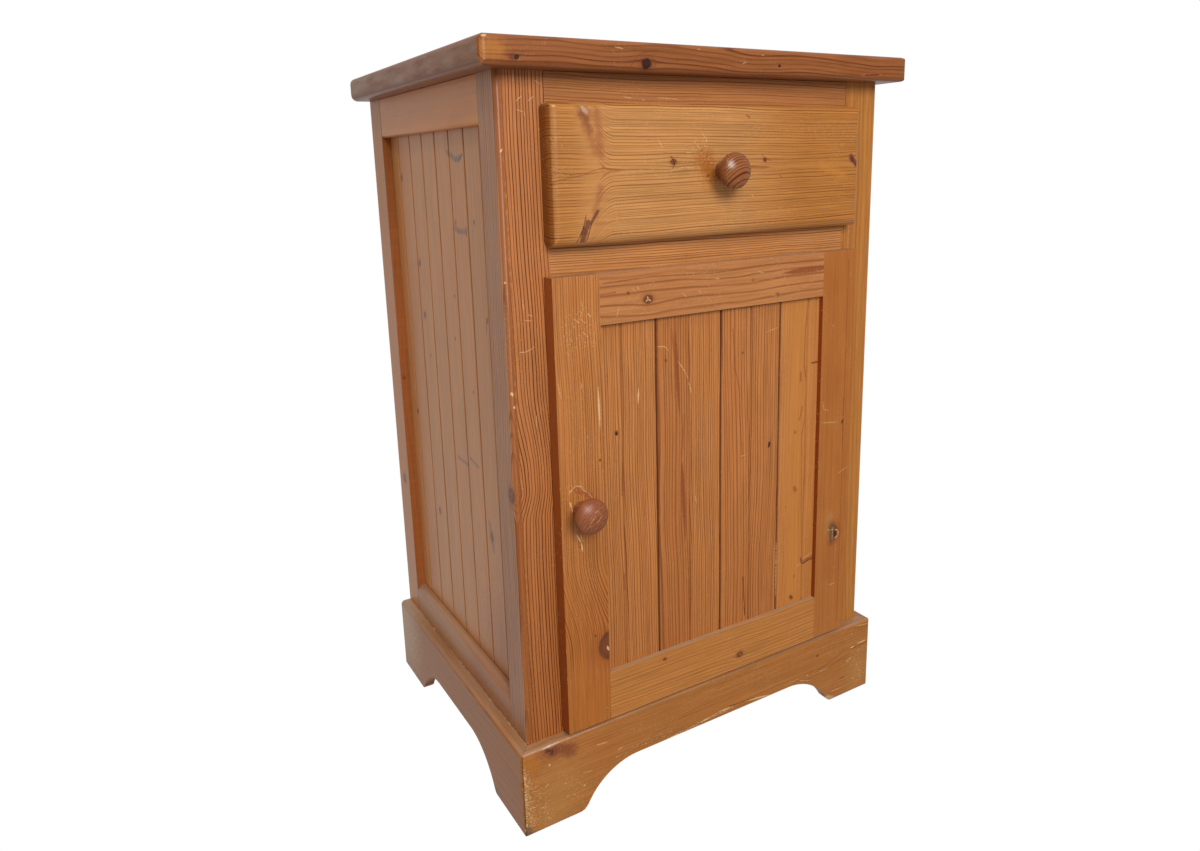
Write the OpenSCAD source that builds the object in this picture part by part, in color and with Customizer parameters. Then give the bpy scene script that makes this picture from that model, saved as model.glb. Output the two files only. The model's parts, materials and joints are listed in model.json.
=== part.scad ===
// Jam cupboard in pine: a framed carcass with boarded sides, one drawer over one door,
// a shaped plinth planted round the foot and an overhanging top.
// Millimetres, +Z up, the front faces -Y. The floor is z = 0, x = 0 is the middle of the
// width, and y = 0 is the middle of the whole depth, from the drawer knob to the back.

/* [Carcass] */
// Width across the outer faces of the sides
case_w = 450; // [430:1:520]
// Depth from the front of the posts to the back
case_d = 355; // [335:1:420]
// Height of the posts, from the floor to the underside of the top
case_h = 725; // [690:1:800]
// Width of a front post, seen from the front
post_w = 46; // [44:0.5:56]
// Depth of a front post, seen from the side
post_d = 36; // [34:0.5:44]
// Width of a rear stile, seen from the side
stile_w = 36.5; // [34:0.5:50]
// Thickness of the rear stiles and of the side rails
side_t = 24; // [24:0.5:28]
// Height of the top rail in each side
side_top_rail_h = 42.5; // [38:0.5:60]
// Height of the bottom rail in each side
side_bottom_rail_h = 68.5; // [60:0.5:90]
// Underside of every bottom rail, above the floor
bottom_rail_low = 60; // [50:0.5:64]
// Rounding along the upper outer edge of the side bottom rails
rail_edge_r = 8; // [2:0.5:9]
// Rounding along the lower outer edge of the side top rails
head_edge_r = 3; // [1:0.5:6]
// Rounding of the front posts' outer arris, above the plinth
post_edge_r = 4; // [2:0.5:6]
// Thickness of the rails of the front frame
front_rail_t = 22; // [20:0.5:26]
// Height of the front rail under the top
front_top_rail_h = 33.5; // [30:0.5:50]
// Height of the front rail between the drawer and the door
mid_rail_h = 40; // [34:0.5:50]
// Height of the drawer's opening
drawer_opening_h = 108; // [96:1:125]
// Thickness of the two rails at the back
rear_rail_t = 18; // [14:0.5:22]
// Height of the upper rail at the back
rear_top_rail_h = 40; // [36:0.5:60]
// Thickness of the tenons of the carcass rails
tenon_t = 9; // [7:0.5:10]
// Length of the tenons that enter the front posts
tenon_l = 18; // [12:0.5:20]
// Length of the tenons that enter the rear stiles
stub_l = 12; // [8:0.5:16]
// Step from a rail's edge to the edge of its tenon
tenon_step = 6; // [4:0.5:8]

/* [Plinth] */
// Height of the plinth boards
plinth_h = 93; // [84:0.5:100]
// Thickness of the plinth boards, which is how far they stand proud
plinth_t = 12.5; // [10:0.5:18]
// Flat of a foot along the front, from the outer corner
foot_front = 57; // [40:0.5:70]
// Flat of a foot along the side
foot_side = 60; // [40:0.5:70]
// Length of the curve from a foot's flat to the top of the arch
arch_run = 76; // [60:0.5:78]
// Height of the arch above the floor
arch_rise = 44; // [36:0.5:48]
// Radius of the toe, where the curve leaves the floor
toe_r = 20; // [12:0.5:24]
// Rounding along the plinth's upper outer edge
plinth_edge_r = 5; // [2:0.5:6]
// Rounding along the plinth's lower outer edge
plinth_foot_r = 5; // [1:0.5:6]
// Rounding of the plinth's front corners in plan
plinth_corner_r = 4.5; // [1:0.5:6]

/* [Top] */
// Thickness of the top board
top_t = 25; // [20:0.5:30]
// Overhang of the top in front of the posts
top_over_front = 22; // [16:0.5:30]
// Overhang of the top past each side
top_over_side = 21; // [14:0.5:30]
// Rounding of the top board's upper front edge
top_edge_r = 6; // [2:0.5:9]
// Rounding of the top board's lower front edge
top_under_r = 5; // [2:0.5:9]
// Rounding of the top board's two ends, above and below
top_end_r = 7; // [2:0.5:9]
// Rounding of the top board's front corners in plan
top_corner_r = 6; // [2:0.5:12]

/* [Boarding] */
// Thickness of the tongued boards in the sides
side_board_t = 9; // [8:0.5:10]
// Depth of the side boards' faces behind the face of the frame
side_recess = 10; // [8:0.5:11]
// Width that each side board covers
side_board_w = 78; // [60:1:110]
// Width of the first side board that shows behind the front post
side_first_w = 63; // [40:1:78]
// Depth of the groove that holds the side boards
groove_d = 7; // [5:0.5:9]
// Thickness of the tongued boards of the back
back_board_t = 8; // [6:0.5:10]
// Width that each back board covers
back_board_w = 86; // [60:1:110]
// Width of the rebate for the back boards in each rear stile
back_rebate = 12; // [8:0.5:14]
// Depth and half width of the V where boards meet and along their middles
vee = 1.8; // [0.8:0.1:1.9]
// Length of a board's tongue
tongue_l = 4.5; // [3:0.5:5]
// Clearance in a dry joint
joint_gap = 0.1; // [0.05:0.05:0.2]

/* [Cupboard inside] */
// Thickness of the bottom board
bottom_t = 12; // [9:0.5:16]
// Side of the square bearers under the bottom board
bearer = 20; // [14:0.5:24]
// Thickness of the shelf
shelf_t = 14; // [12:0.5:18]
// Height of the shelf's top above the bottom board
shelf_rise = 214; // [150:1:300]
// Side of the square bearers under the shelf
shelf_bearer = 18; // [12:0.5:22]
// Distance of the shelf's front edge behind the posts' front
shelf_setback = 50; // [40:1:120]
// Clearance round the shelf
shelf_gap = 0.3; // [0.2:0.1:0.6]

/* [Drawer] */
// Thickness of the drawer front
drawer_front_t = 17.5; // [15:0.5:22]
// Overlap of the drawer front past its opening at each side
drawer_overlap_x = 5.5; // [4:0.5:10]
// Overlap of the drawer front past its opening above and below
drawer_overlap_z = 7; // [4:0.5:10]
// Rounding of the drawer front's edges
drawer_edge_r = 8; // [3:0.5:10]
// Rounding of the drawer front's four corners, seen from the front
drawer_corner_r = 5; // [2:0.5:8]
// Gap between the drawer front and the posts
drawer_gap = 0.3; // [0.3:0.1:1]
// Thickness of the drawer's sides
drawer_side_t = 12; // [10:0.5:14]
// Height of the drawer's sides
drawer_side_h = 104; // [80:1:104]
// Length of the drawer's sides
drawer_l = 300; // [260:1:310]
// Thickness of the board behind the drawer front
box_front_t = 12; // [10:0.5:14]
// Thickness of the drawer's back
drawer_back_t = 12; // [10:0.5:14]
// Distance from the drawer's back to the ends of its sides
drawer_back_inset = 8; // [4:0.5:16]
// Thickness of the drawer's bottom
drawer_bottom_t = 5; // [4:0.5:6]
// Height of the drawer's bottom above the lower edges of the sides
drawer_bottom_z = 8; // [6:0.5:14]
// Depth of the grooves and housings in the drawer
drawer_groove = 5; // [4:0.5:6]
// Clearance under the drawer's sides
drawer_run_gap = 0.3; // [0.2:0.1:0.8]
// Clearance between a drawer side and the post beside it
drawer_side_gap = 1.5; // [1:0.1:3]
// Clearance between a drawer side and its guide
guide_gap = 0.5; // [0.3:0.1:0.9]
// Height of the runners under the drawer
runner_h = 20; // [14:0.5:30]
// Width of a runner's bearing inside the face of the post
runner_bearing = 16; // [12:0.5:24]
// Height of the guides beside the drawer
guide_h = 15; // [10:0.5:30]
// Number of tails at each corner of the drawer
tails = 3; // [2:1:4]
// Half width of a tail at its root
tail_root = 8; // [6:0.5:9]
// Spread of a tail on each side, from root to end
tail_spread = 2; // [1:0.25:2.5]

/* [Door] */
// Thickness of the door's frame
door_t = 15; // [14:0.5:18]
// Overlap of the door past its opening at each side
door_overlap_x = 7.5; // [6:0.5:12]
// Overlap of the door past its opening above and below
door_overlap_z = 6.5; // [4:0.5:10]
// Gap between the plinth and the door's lower edge
door_low_gap = 6; // [3:0.5:10]
// Width of the door's stiles
door_stile_w = 48; // [40:0.5:60]
// Height of the door's top rail
door_top_rail_h = 47; // [40:0.5:60]
// Height of the door's bottom rail
door_bottom_rail_h = 51.5; // [40:0.5:70]
// Thickness of the door's tongued boards
door_board_t = 6; // [6:0.25:6.5]
// Depth of the door boards' faces behind the face of the door's frame
door_recess = 5.5; // [4:0.25:6]
// Width that each door board covers
door_board_w = 79; // [60:1:110]
// Width of the first door board that shows beside the left stile
door_first_w = 64.5; // [40:0.5:79]
// Depth of the groove that holds the door boards
door_groove_d = 7; // [5:0.5:9]
// Length of the door rails' tenons
door_tenon_l = 22; // [14:0.5:26]
// Step from the door rails' outer edges to their tenons
door_tenon_step = 10; // [6:0.5:14]

/* [Hinges and catch] */
// Height of each hinge
hinge_h = 50; // [40:1:64]
// Distance from the end of the door to the middle of the nearer hinge
hinge_inset = 76; // [60:1:110]
// Thickness of the hinge leaves
leaf_t = 1; // [0.8:0.1:1.1]
// Outer radius of the knuckles
knuckle_r = 2.5; // [2.2:0.1:2.8]
// Radius of the hinge pins
pin_r = 1.3; // [1:0.1:1.5]
// Clearance of the pin in its knuckles
pin_gap = 0.05; // [0.02:0.01:0.09]
// Gap between the door's edge and the knuckles
knuckle_gap = 0.7; // [0.4:0.1:1.5]
// Gap between the back of the door and the posts
door_gap = 1.2; // [1.15:0.05:2]
// Width of the leaf let into the back of the door
door_leaf_w = 22; // [18:0.5:30]
// Depth of the leaf along the inner face of the post
post_leaf_w = 20; // [14:0.5:30]
// Gap between neighbouring knuckles
knuckle_step = 0.3; // [0.2:0.1:0.5]
// Length of the hinge screws
hinge_screw_l = 11; // [8:0.5:13]
// Length of the catch under the middle rail
catch_l = 44; // [36:1:60]
// Depth of the catch
catch_d = 14; // [12:0.5:18]
// Height of the catch
catch_h = 13; // [10:0.5:18]
// Distance of the catch's middle from the left post
catch_in = 60; // [40:1:120]
// Gap between the catch and its plate on the door
catch_gap = 0.3; // [0.2:0.1:0.6]
// Thickness of the catch's plate
plate_t = 0.9; // [0.6:0.1:1]

/* [Knobs] */
// Largest radius of a knob
knob_r = 17; // [14:0.5:22]
// Radius of the turned edge round a knob's head
knob_edge_r = 7; // [6:0.5:11]
// Radius of the dome of a knob's face
knob_dome_r = 25; // [22:0.5:40]
// Distance of a knob's widest part from the wood behind it
knob_waist = 19; // [15:0.5:22]
// Radius of a knob's neck
neck_r = 9; // [7:0.5:11]
// Height of the door knob above the door's lower edge
door_knob_z = 231; // [120:1:330]
// Distance of the door knob from the door's left edge
door_knob_x = 21.5; // [18:0.5:30]
// Radius of the screws that hold the knobs
knob_screw_r = 2; // [1.5:0.25:2.5]
// Depth of a knob screw in its knob
knob_screw_in = 14; // [8:0.5:16]

/* [Screws and nails] */
// Radius of the screws through the kickers, the drawer and the catch
screw_r = 1.75; // [1.25:0.25:2]
// Radius of a screw head
screw_head_r = 3.2; // [2.6:0.1:3.6]
// Depth of a countersunk head
screw_head_h = 1.6; // [1.2:0.1:2]
// Depth of the top's screws in the top board
top_screw_in = 12; // [8:0.5:16]
// Depth of the drawer front's screws in the drawer front
front_screw_in = 11; // [8:0.5:13]
// Length of the catch's screws in the rail or door
catch_screw_in = 9; // [6:0.5:12]
// Radius of the nails in the back boards
nail_r = 1; // [0.8:0.1:1.4]
// Depth of the nails, boards included
nail_l = 22; // [14:0.5:24]

/* [Hidden] */
$fn = 64;

// Colours
pine = "peru";
pine_dark = "sienna";
pine_pale = "burlywood";
steel = "lightgray";
brass = "goldenrod";
plastic = "saddlebrown";

// A cut runs past the face it starts from by this much
over = 1;

// Widths, from the middle of the cupboard
half_w = case_w / 2;
post_in = half_w - post_w;
side_in = half_w - side_t;
board_face = half_w - side_recess;
board_back = board_face - side_board_t;

// Heights of the front frame
top_z = case_h;
drawer_top_z = top_z - front_top_rail_h;
drawer_low_z = drawer_top_z - drawer_opening_h;
mid_low_z = drawer_low_z - mid_rail_h;
door_low_z = plinth_h + door_low_gap;
door_top_z = mid_low_z + door_overlap_z;
front_sill_z = door_low_z + door_overlap_z;
side_sill_z = bottom_rail_low + side_bottom_rail_h;
side_head_z = top_z - side_top_rail_h;

// Depths, from the front of the posts, y = 0 inside at_front()
stile_y = case_d - stile_w;
back_y = case_d - back_board_t;
rear_rail_y = back_y - rear_rail_t;

// Door
door_back_y = -door_gap;
door_face_y = door_back_y - door_t;
door_half_w = post_in + door_overlap_x;
door_open_x = door_half_w - door_stile_w;
door_open_low = door_low_z + door_bottom_rail_h;
door_open_top = door_top_z - door_top_rail_h;
door_board_y = door_face_y + door_recess;

// Hinges: the axis stands beside the door's right edge, just in front of the post
pin_x = door_half_w + knuckle_gap + knuckle_r;
pin_y = -(knuckle_r + joint_gap);
hinge_z = [door_low_z + hinge_inset, door_top_z - hinge_inset];
knuckle_h = hinge_h / 3;

// Drawer
box_half_w = post_in - drawer_side_gap;
box_in = box_half_w - drawer_side_t;
box_y = -drawer_gap;
box_z = drawer_low_z + drawer_run_gap;
box_front_in = box_y + box_front_t;
drawer_back_y = box_y + drawer_l - drawer_back_inset - drawer_back_t;
panel_z = box_z + drawer_bottom_z;
drawer_face_y = box_y - drawer_front_t;
drawer_mid_z = (drawer_low_z + drawer_top_z) / 2;
runner_in = post_in - runner_bearing;

// Catch
catch_x = -post_in + catch_in;
plate_y = door_back_y + plate_t;
catch_y = plate_y + catch_gap;

// Knobs: the centre of the dome lies on the axis, and the dome meets the edge tangentially
knob_ring = knob_r - knob_edge_r;
dome_c = knob_waist - sqrt(pow(knob_dome_r - knob_edge_r, 2) - pow(knob_ring, 2));
knob_l = dome_c + knob_dome_r;

// The middle of the whole depth is the origin
front_y = (drawer_gap + drawer_front_t + knob_l - case_d) / 2;

// Plinth arch, measured from the end of a foot's flat: the toe's circle, and the arch's circle
// that carries on from it to the flat. Where two curves or a curve and a flat would only
// touch, they cross by this much instead, so that each corner is a clear one
nick = 0.05;
toe_c = [-sqrt(pow(toe_r, 2) - pow(toe_r - nick, 2)), toe_r - nick];
arch_span = [arch_run - toe_c[0], arch_rise + 2 * nick - toe_r];
arch_r = (arch_span * arch_span - pow(toe_c[1], 2)) / (2 * (arch_span[1] + toe_c[1]));
arch_c = [arch_run, arch_rise + nick - arch_r];
arch_meet = toe_c + (arch_c - toe_c) * toe_r / (toe_r + arch_r);

// Joints between boards, each measured along the boarding
side_joints = [for (y = post_d + side_first_w; y < stile_y - over; y = y + side_board_w) y];
door_joints = [for (x = door_first_w - door_open_x; x < door_open_x - over; x = x + door_board_w) x];
back_half = side_in + back_rebate;
back_boards_each_side = floor((back_half - 2 * tongue_l) / back_board_w + 0.5);
back_joints = [
    for (n = [-back_boards_each_side : back_boards_each_side - 1]) (n + 0.5) * back_board_w
];

// Placing

// The posts' front is y = 0 inside
module at_front() {
    translate([0, front_y, 0]) children();
}

// Pieces are drawn on the right, and mirrored for the left
module on_side(side) {
    mirror([side < 0 ? 1 : 0, 0, 0]) children();
}

// A straight block between three pairs of faces
module block(x, y, z) {
    translate([x[0], y[0], z[0]]) cube([x[1] - x[0], y[1] - y[0], z[1] - z[0]]);
}

// A section in (y, z), run along x
module along_x(x) {
    translate([x[0], 0, 0]) rotate([90, 0, 90]) linear_extrude(x[1] - x[0]) children();
}

// A section in (x, z), run along y
module along_y(y) {
    translate([0, y[1], 0]) rotate([90, 0, 0]) linear_extrude(y[1] - y[0]) children();
}

// A section in (x, y), run upwards
module along_z(z) {
    translate([0, 0, z[0]]) linear_extrude(z[1] - z[0]) children();
}

// What a rounded corner removes: the corner is at c, and d points into the section
module corner_cut(c, d, r) {
    translate(c) difference() {
        polygon([[-d[0], -d[1]], [d[0] * r, -d[1]], [d[0] * r, d[1] * r], [-d[0], d[1] * r]]);
        translate([d[0] * r, d[1] * r]) circle(r);
    }
}

// A rectangle between two pairs of edges
module sheet(a, b) {
    translate([a[0], b[0]]) square([a[1] - a[0], b[1] - b[0]]);
}

// The outline of one tongued board between a and b, with its face at depth 0, its V
// joints where it meets a neighbour, and a V along its middle
function board_outline(a, b, t, mid, joined_a, joined_b) =
    let (
        core = t / 2,
        tongue = t / 6,
        slot = tongue + joint_gap,
        slot_d = tongue_l + joint_gap
    )
    concat(
        joined_a ? [[a, vee], [a + vee, 0]] : [[a, 0]],
        [[mid - vee, 0], [mid, vee], [mid + vee, 0]],
        joined_b
            ? [
                [b - vee, 0], [b, vee], [b, core - tongue], [b + tongue_l, core - tongue],
                [b + tongue_l, core + tongue], [b, core + tongue]
            ]
            : [[b, 0]],
        [[b, t], [a, t]],
        joined_a
            ? [[a, core + slot], [a + slot_d, core + slot], [a + slot_d, core - slot], [a, core - slot]]
            : []
    );

// Boards from low to high that meet at the joints, with a V in the middle of each width
function boarding(low, high, joints, width, t) =
    let (last = len(joints))
    [
        for (n = [0 : last])
            let (
                a = n == 0 ? low : joints[n - 1],
                b = n == last ? high : joints[n] - joint_gap,
                mid = n == 0 ? joints[0] - width / 2 : a + width / 2
            )
            board_outline(a, b, t, mid, n > 0, n < last)
    ];

// A countersunk screw whose head is flush with z = 0, running down
module screw(r, length) {
    translate([0, 0, -length]) cylinder(h = length - screw_head_h / 2, r = r);
    translate([0, 0, -screw_head_h]) cylinder(h = screw_head_h, r1 = r, r2 = screw_head_r);
}

// The hole that such a screw needs
module screw_hole(r, length) {
    translate([0, 0, -length - joint_gap]) cylinder(h = length + over, r = r + joint_gap / 2);
    translate([0, 0, -screw_head_h]) cylinder(
        h = screw_head_h + joint_gap,
        r1 = r + joint_gap / 2,
        r2 = screw_head_r + joint_gap
    );
}

// Carcass

// The tenon and mortise of a front rail: grow is the mortise's clearance
module front_tenon(z, grow) {
    mid = front_rail_t / 2;
    block(
        [post_in, post_in + tenon_l + grow],
        [mid - tenon_t / 2 - grow, mid + tenon_t / 2 + grow],
        [z[0] + tenon_step - grow, z[1] - tenon_step + grow]
    );
}

// The tenon and mortise of a side rail, at the post or at the rear stile
module side_tenon(y, z, grow) {
    mid = half_w - side_t / 2;
    block([mid - tenon_t / 2 - grow, mid + tenon_t / 2 + grow], y, [z[0] - grow, z[1] + grow]);
}

top_rail_z = [drawer_top_z, top_z];
mid_rail_z = [mid_low_z, drawer_low_z];
bottom_rail_z = [bottom_rail_low, front_sill_z];
side_top_tenon_z = [side_head_z + groove_d, top_z - tenon_step];
side_bottom_tenon_z = [bottom_rail_low + tenon_step, side_sill_z - groove_d];
side_groove_x = [board_back - joint_gap, board_face + joint_gap];
side_groove_z = [side_sill_z - groove_d, side_head_z + groove_d];

module front_post(side) {
    on_side(side) color(pine) at_front() difference() {
        block([post_in, half_w], [0, post_d], [0, top_z]);
        along_z([plinth_h, top_z + over]) corner_cut([half_w, 0], [-1, 1], post_edge_r);
        front_tenon(top_rail_z, joint_gap);
        front_tenon(mid_rail_z, joint_gap);
        front_tenon(bottom_rail_z, joint_gap);
        side_tenon([post_d - tenon_l - joint_gap, post_d + over], side_top_tenon_z, joint_gap);
        side_tenon([post_d - tenon_l - joint_gap, post_d + over], side_bottom_tenon_z, joint_gap);
        block(side_groove_x, [post_d - groove_d, post_d + over], side_groove_z);
        if (side > 0)
            for (z = hinge_z) post_leaf_screws(z) screw_hole(screw_r, hinge_screw_l);
    }
}

module rear_stile(side) {
    on_side(side) color(pine) at_front() difference() {
        block([side_in, half_w], [stile_y, case_d], [0, top_z]);
        side_tenon([stile_y - over, stile_y + stub_l + joint_gap], side_top_tenon_z, joint_gap);
        side_tenon([stile_y - over, stile_y + stub_l + joint_gap], side_bottom_tenon_z, joint_gap);
        block(side_groove_x, [stile_y - over, stile_y + groove_d], side_groove_z);
        block([side_in - over, back_half], [back_y, case_d + over], [-over, top_z + over]);
    }
}

module side_top_rail(side) {
    on_side(side) color(pine) at_front() difference() {
        union() {
            along_y([post_d, stile_y]) difference() {
                sheet([side_in, half_w], [side_head_z, top_z]);
                corner_cut([half_w, side_head_z], [-1, 1], head_edge_r);
            }
            side_tenon([post_d - tenon_l, stile_y + stub_l], side_top_tenon_z, 0);
        }
        block(side_groove_x, [post_d - over, stile_y + over], [side_head_z - over, side_head_z + groove_d]);
    }
}

module side_bottom_rail(side) {
    on_side(side) color(pine) at_front() difference() {
        union() {
            along_y([post_d, stile_y]) difference() {
                sheet([side_in, half_w], [bottom_rail_low, side_sill_z]);
                corner_cut([half_w, side_sill_z], [-1, -1], rail_edge_r);
            }
            side_tenon([post_d - tenon_l, stile_y + stub_l], side_bottom_tenon_z, 0);
        }
        block(side_groove_x, [post_d - over, stile_y + over], [side_sill_z - groove_d, side_sill_z + over]);
    }
}

module side_boards(side) {
    low = post_d - groove_d + shelf_gap;
    high = stile_y + groove_d - shelf_gap;
    on_side(side) color(pine) at_front()
        for (outline = boarding(low, high, side_joints, side_board_w, side_board_t))
            along_z([side_groove_z[0] + shelf_gap, side_groove_z[1] - shelf_gap])
                polygon([for (p = outline) [board_face - p[1], p[0]]]);
}

module front_rail(z) {
    color(pine) at_front() {
        block([-post_in, post_in], [0, front_rail_t], z);
        for (side = [-1, 1]) on_side(side) front_tenon(z, 0);
    }
}

module front_top_rail() {
    front_rail(top_rail_z);
}

module front_mid_rail() {
    color(pine) difference() {
        front_rail(mid_rail_z);
        at_front() catch_screw_places() screw_hole(screw_r, catch_h + catch_screw_in);
    }
}

module front_bottom_rail() {
    front_rail(bottom_rail_z);
}

module rear_rail(z) {
    color(pine) at_front() difference() {
        block([-side_in, side_in], [rear_rail_y, back_y], z);
        back_nail_places() nail_hole();
    }
}

module rear_top_rail() {
    rear_rail([top_z - rear_top_rail_h, top_z]);
}

module rear_bottom_rail() {
    rear_rail(bottom_rail_z);
}

module back_boards() {
    low = -back_half + joint_gap;
    color(pine_pale) at_front() difference() {
        for (outline = boarding(low, -low, back_joints, back_board_w, back_board_t))
            along_z([bottom_rail_low, top_z]) polygon([for (p = outline) [p[0], case_d - p[1]]]);
        back_nail_places() nail_hole();
    }
}

// Two nails across each board's end, into the upper and the lower rail
back_nail_z = [bottom_rail_low + rear_top_rail_h / 2, top_z - rear_top_rail_h / 2];
back_nail_x = [
    for (n = [-back_boards_each_side : back_boards_each_side])
        for (s = [-1, 1]) (n + s / 4) * back_board_w
];

module back_nail_places() {
    for (x = back_nail_x)
        for (z = back_nail_z)
            if (abs(x) < side_in - nail_l / 2) translate([x, case_d, z]) rotate([-90, 0, 0]) children();
}

module nail_hole() {
    translate([0, 0, -nail_l - joint_gap]) cylinder(h = nail_l + over, r = nail_r + joint_gap / 2);
}

module back_nails() {
    color(steel) at_front() back_nail_places()
        translate([0, 0, -nail_l]) cylinder(h = nail_l, r = nail_r);
}

module bottom_board() {
    color(pine_pale) at_front() along_z([front_sill_z - bottom_t, front_sill_z]) polygon([
        [-post_in, front_rail_t], [post_in, front_rail_t], [post_in, post_d], [side_in, post_d],
        [side_in, rear_rail_y], [-side_in, rear_rail_y], [-side_in, post_d], [-post_in, post_d]
    ]);
}

module bottom_bearers() {
    low = front_sill_z - bottom_t - bearer;
    for (side = [-1, 1]) on_side(side) color(pine_dark) at_front()
        block([side_in - bearer, side_in], [post_d, rear_rail_y], [low, low + bearer]);
}

shelf_top_z = front_sill_z + shelf_rise;

module shelf() {
    reach = side_in - shelf_gap;
    color(pine_pale) at_front()
        block([-reach, reach], [shelf_setback, back_y - shelf_gap], [shelf_top_z - shelf_t, shelf_top_z]);
}

module shelf_bearers() {
    high = shelf_top_z - shelf_t;
    for (side = [-1, 1]) on_side(side) color(pine_dark) at_front()
        block([board_back - shelf_bearer, board_back], [post_d, stile_y], [high - shelf_bearer, high]);
}

// A strip that fills the side between post and back, and reaches past the post to the front rail
module side_strip(z, back) {
    along_z(z) polygon([
        [runner_in, front_rail_t], [post_in, front_rail_t], [post_in, post_d], [side_in, post_d],
        [side_in, back], [runner_in, back]
    ]);
}

module drawer_runner(side) {
    on_side(side) color(pine_dark) at_front() side_strip([drawer_low_z - runner_h, drawer_low_z], back_y);
}

module drawer_guides() {
    for (side = [-1, 1]) on_side(side) color(pine_dark) at_front()
        block([box_half_w + guide_gap, side_in], [post_d, back_y], [drawer_low_z, drawer_low_z + guide_h]);
}

// The kickers keep the open drawer level, and the top is screwed down through them
top_screw_x = (runner_in + side_in) / 2;
top_screw_inset = 45;
top_screw_y = [post_d + top_screw_inset, stile_y - top_screw_inset];

module top_screw_places() {
    for (side = [-1, 1]) on_side(side)
        for (y = top_screw_y) translate([top_screw_x, y, drawer_top_z]) rotate([180, 0, 0]) children();
}

module drawer_kickers() {
    color(pine_dark) at_front() difference() {
        for (side = [-1, 1]) on_side(side) side_strip([drawer_top_z, top_z], rear_rail_y);
        top_screw_places() screw_hole(screw_r, front_top_rail_h + top_screw_in);
    }
}

module top_screws() {
    color(steel) at_front() top_screw_places() screw(screw_r, front_top_rail_h + top_screw_in);
}

// Top

module top_board() {
    reach = half_w + top_over_side;
    high = top_z + top_t;
    color(pine) at_front() difference() {
        intersection() {
            along_x([-reach, reach]) difference() {
                sheet([-top_over_front, case_d], [top_z, high]);
                corner_cut([-top_over_front, high], [1, -1], top_edge_r);
                corner_cut([-top_over_front, top_z], [1, 1], top_under_r);
            }
            along_y([-top_over_front, case_d]) difference() {
                sheet([-reach, reach], [top_z, high]);
                for (side = [-1, 1]) {
                    corner_cut([side * reach, high], [-side, -1], top_end_r);
                    corner_cut([side * reach, top_z], [-side, 1], top_end_r);
                }
            }
            along_z([top_z, high]) difference() {
                sheet([-reach, reach], [-top_over_front, case_d]);
                for (side = [-1, 1])
                    corner_cut([side * reach, -top_over_front], [-side, 1], top_corner_r);
            }
        }
        top_screw_places() screw_hole(screw_r, front_top_rail_h + top_screw_in);
    }
}

// Plinth

// The opening under one end of an arch: the foot's flat ends at x = 0, and the arch rises
// to its flat at x = arch_run by a toe curving out and an arch curving over
module arch_end() {
    difference() {
        union() {
            sheet([toe_c[0], arch_meet[0]], [-over, arch_meet[1]]);
            intersection() {
                sheet([0, arch_run], [-over, arch_rise]);
                translate(arch_c) circle(arch_r);
            }
        }
        translate(toe_c) circle(toe_r);
    }
}

// A plinth board's face between two ends, cut away by its arch
module plinth_face(a, b, foot) {
    difference() {
        sheet([a, b], [0, plinth_h]);
        translate([a + foot, 0]) arch_end();
        translate([b - foot, 0]) mirror([1, 0]) arch_end();
        sheet([a + foot + arch_run - over, b - foot - arch_run + over], [-over, arch_rise]);
    }
}

plinth_out = half_w + plinth_t;

// The section of a plinth board: its outer face is at 0, and its back at plinth_t
module plinth_section() {
    difference() {
        sheet([0, plinth_t], [0, plinth_h]);
        corner_cut([0, plinth_h], [1, -1], plinth_edge_r);
        corner_cut([0, 0], [1, 1], plinth_foot_r);
    }
}

// What the plinth's rounded corner removes in plan. The mitre crosses the middle of one of
// the arc's 15 steps, since 15 is odd, and so makes a clear corner there
module plinth_corner_cut() {
    corner_cut([plinth_out, -plinth_t], [-1, 1], plinth_corner_r, $fn = 60);
}

module plinth_front() {
    color(pine) at_front() intersection() {
        along_y([-plinth_t, 0]) plinth_face(-plinth_out, plinth_out, foot_front);
        along_x([-plinth_out, plinth_out]) translate([-plinth_t, 0]) plinth_section();
        along_z([-over, plinth_h + over]) difference() {
            polygon([[-plinth_out, -plinth_t], [plinth_out, -plinth_t], [half_w, 0], [-half_w, 0]]);
            for (side = [-1, 1]) on_side(side) plinth_corner_cut();
        }
    }
}

module plinth_side(side) {
    on_side(side) color(pine) at_front() intersection() {
        along_x([half_w, plinth_out]) plinth_face(-plinth_t, case_d, foot_side);
        along_y([-plinth_t, case_d]) translate([plinth_out, 0]) mirror([1, 0]) plinth_section();
        along_z([-over, plinth_h + over]) difference() {
            polygon([[plinth_out, -plinth_t], [plinth_out, case_d], [half_w, case_d], [half_w, 0]]);
            plinth_corner_cut();
        }
    }
}

// Hinges

// A row of knuckles round the pin, numbered from below
module knuckles(z, rows, bore) {
    for (n = rows)
        translate([pin_x, pin_y, z - hinge_h / 2 + n * knuckle_h + (n > 0 ? knuckle_step / 2 : 0)])
            cylinder(h = knuckle_h - (n == 1 ? knuckle_step : knuckle_step / 2), r = bore);
}

// The leaf that wraps round the post: its plan, from the knuckle to the post's inner face
module post_leaf_plan() {
    sheet([post_in - leaf_t, pin_x], [-leaf_t, 0]);
    sheet([post_in - leaf_t, post_in], [-leaf_t, post_leaf_w]);
}

module hinge_post_leaf(z) {
    low = z - hinge_h / 2;
    color(brass) at_front() difference() {
        union() {
            along_z([low, low + hinge_h]) post_leaf_plan();
            knuckles(z, [0, 2], knuckle_r);
        }
        translate([pin_x, pin_y, low + knuckle_h])
            cylinder(h = knuckle_h, r = knuckle_r + knuckle_step);
        knuckle_bore(z, pin_gap);
        post_leaf_screws(z) screw_hole(screw_r, hinge_screw_l);
    }
}

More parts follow.
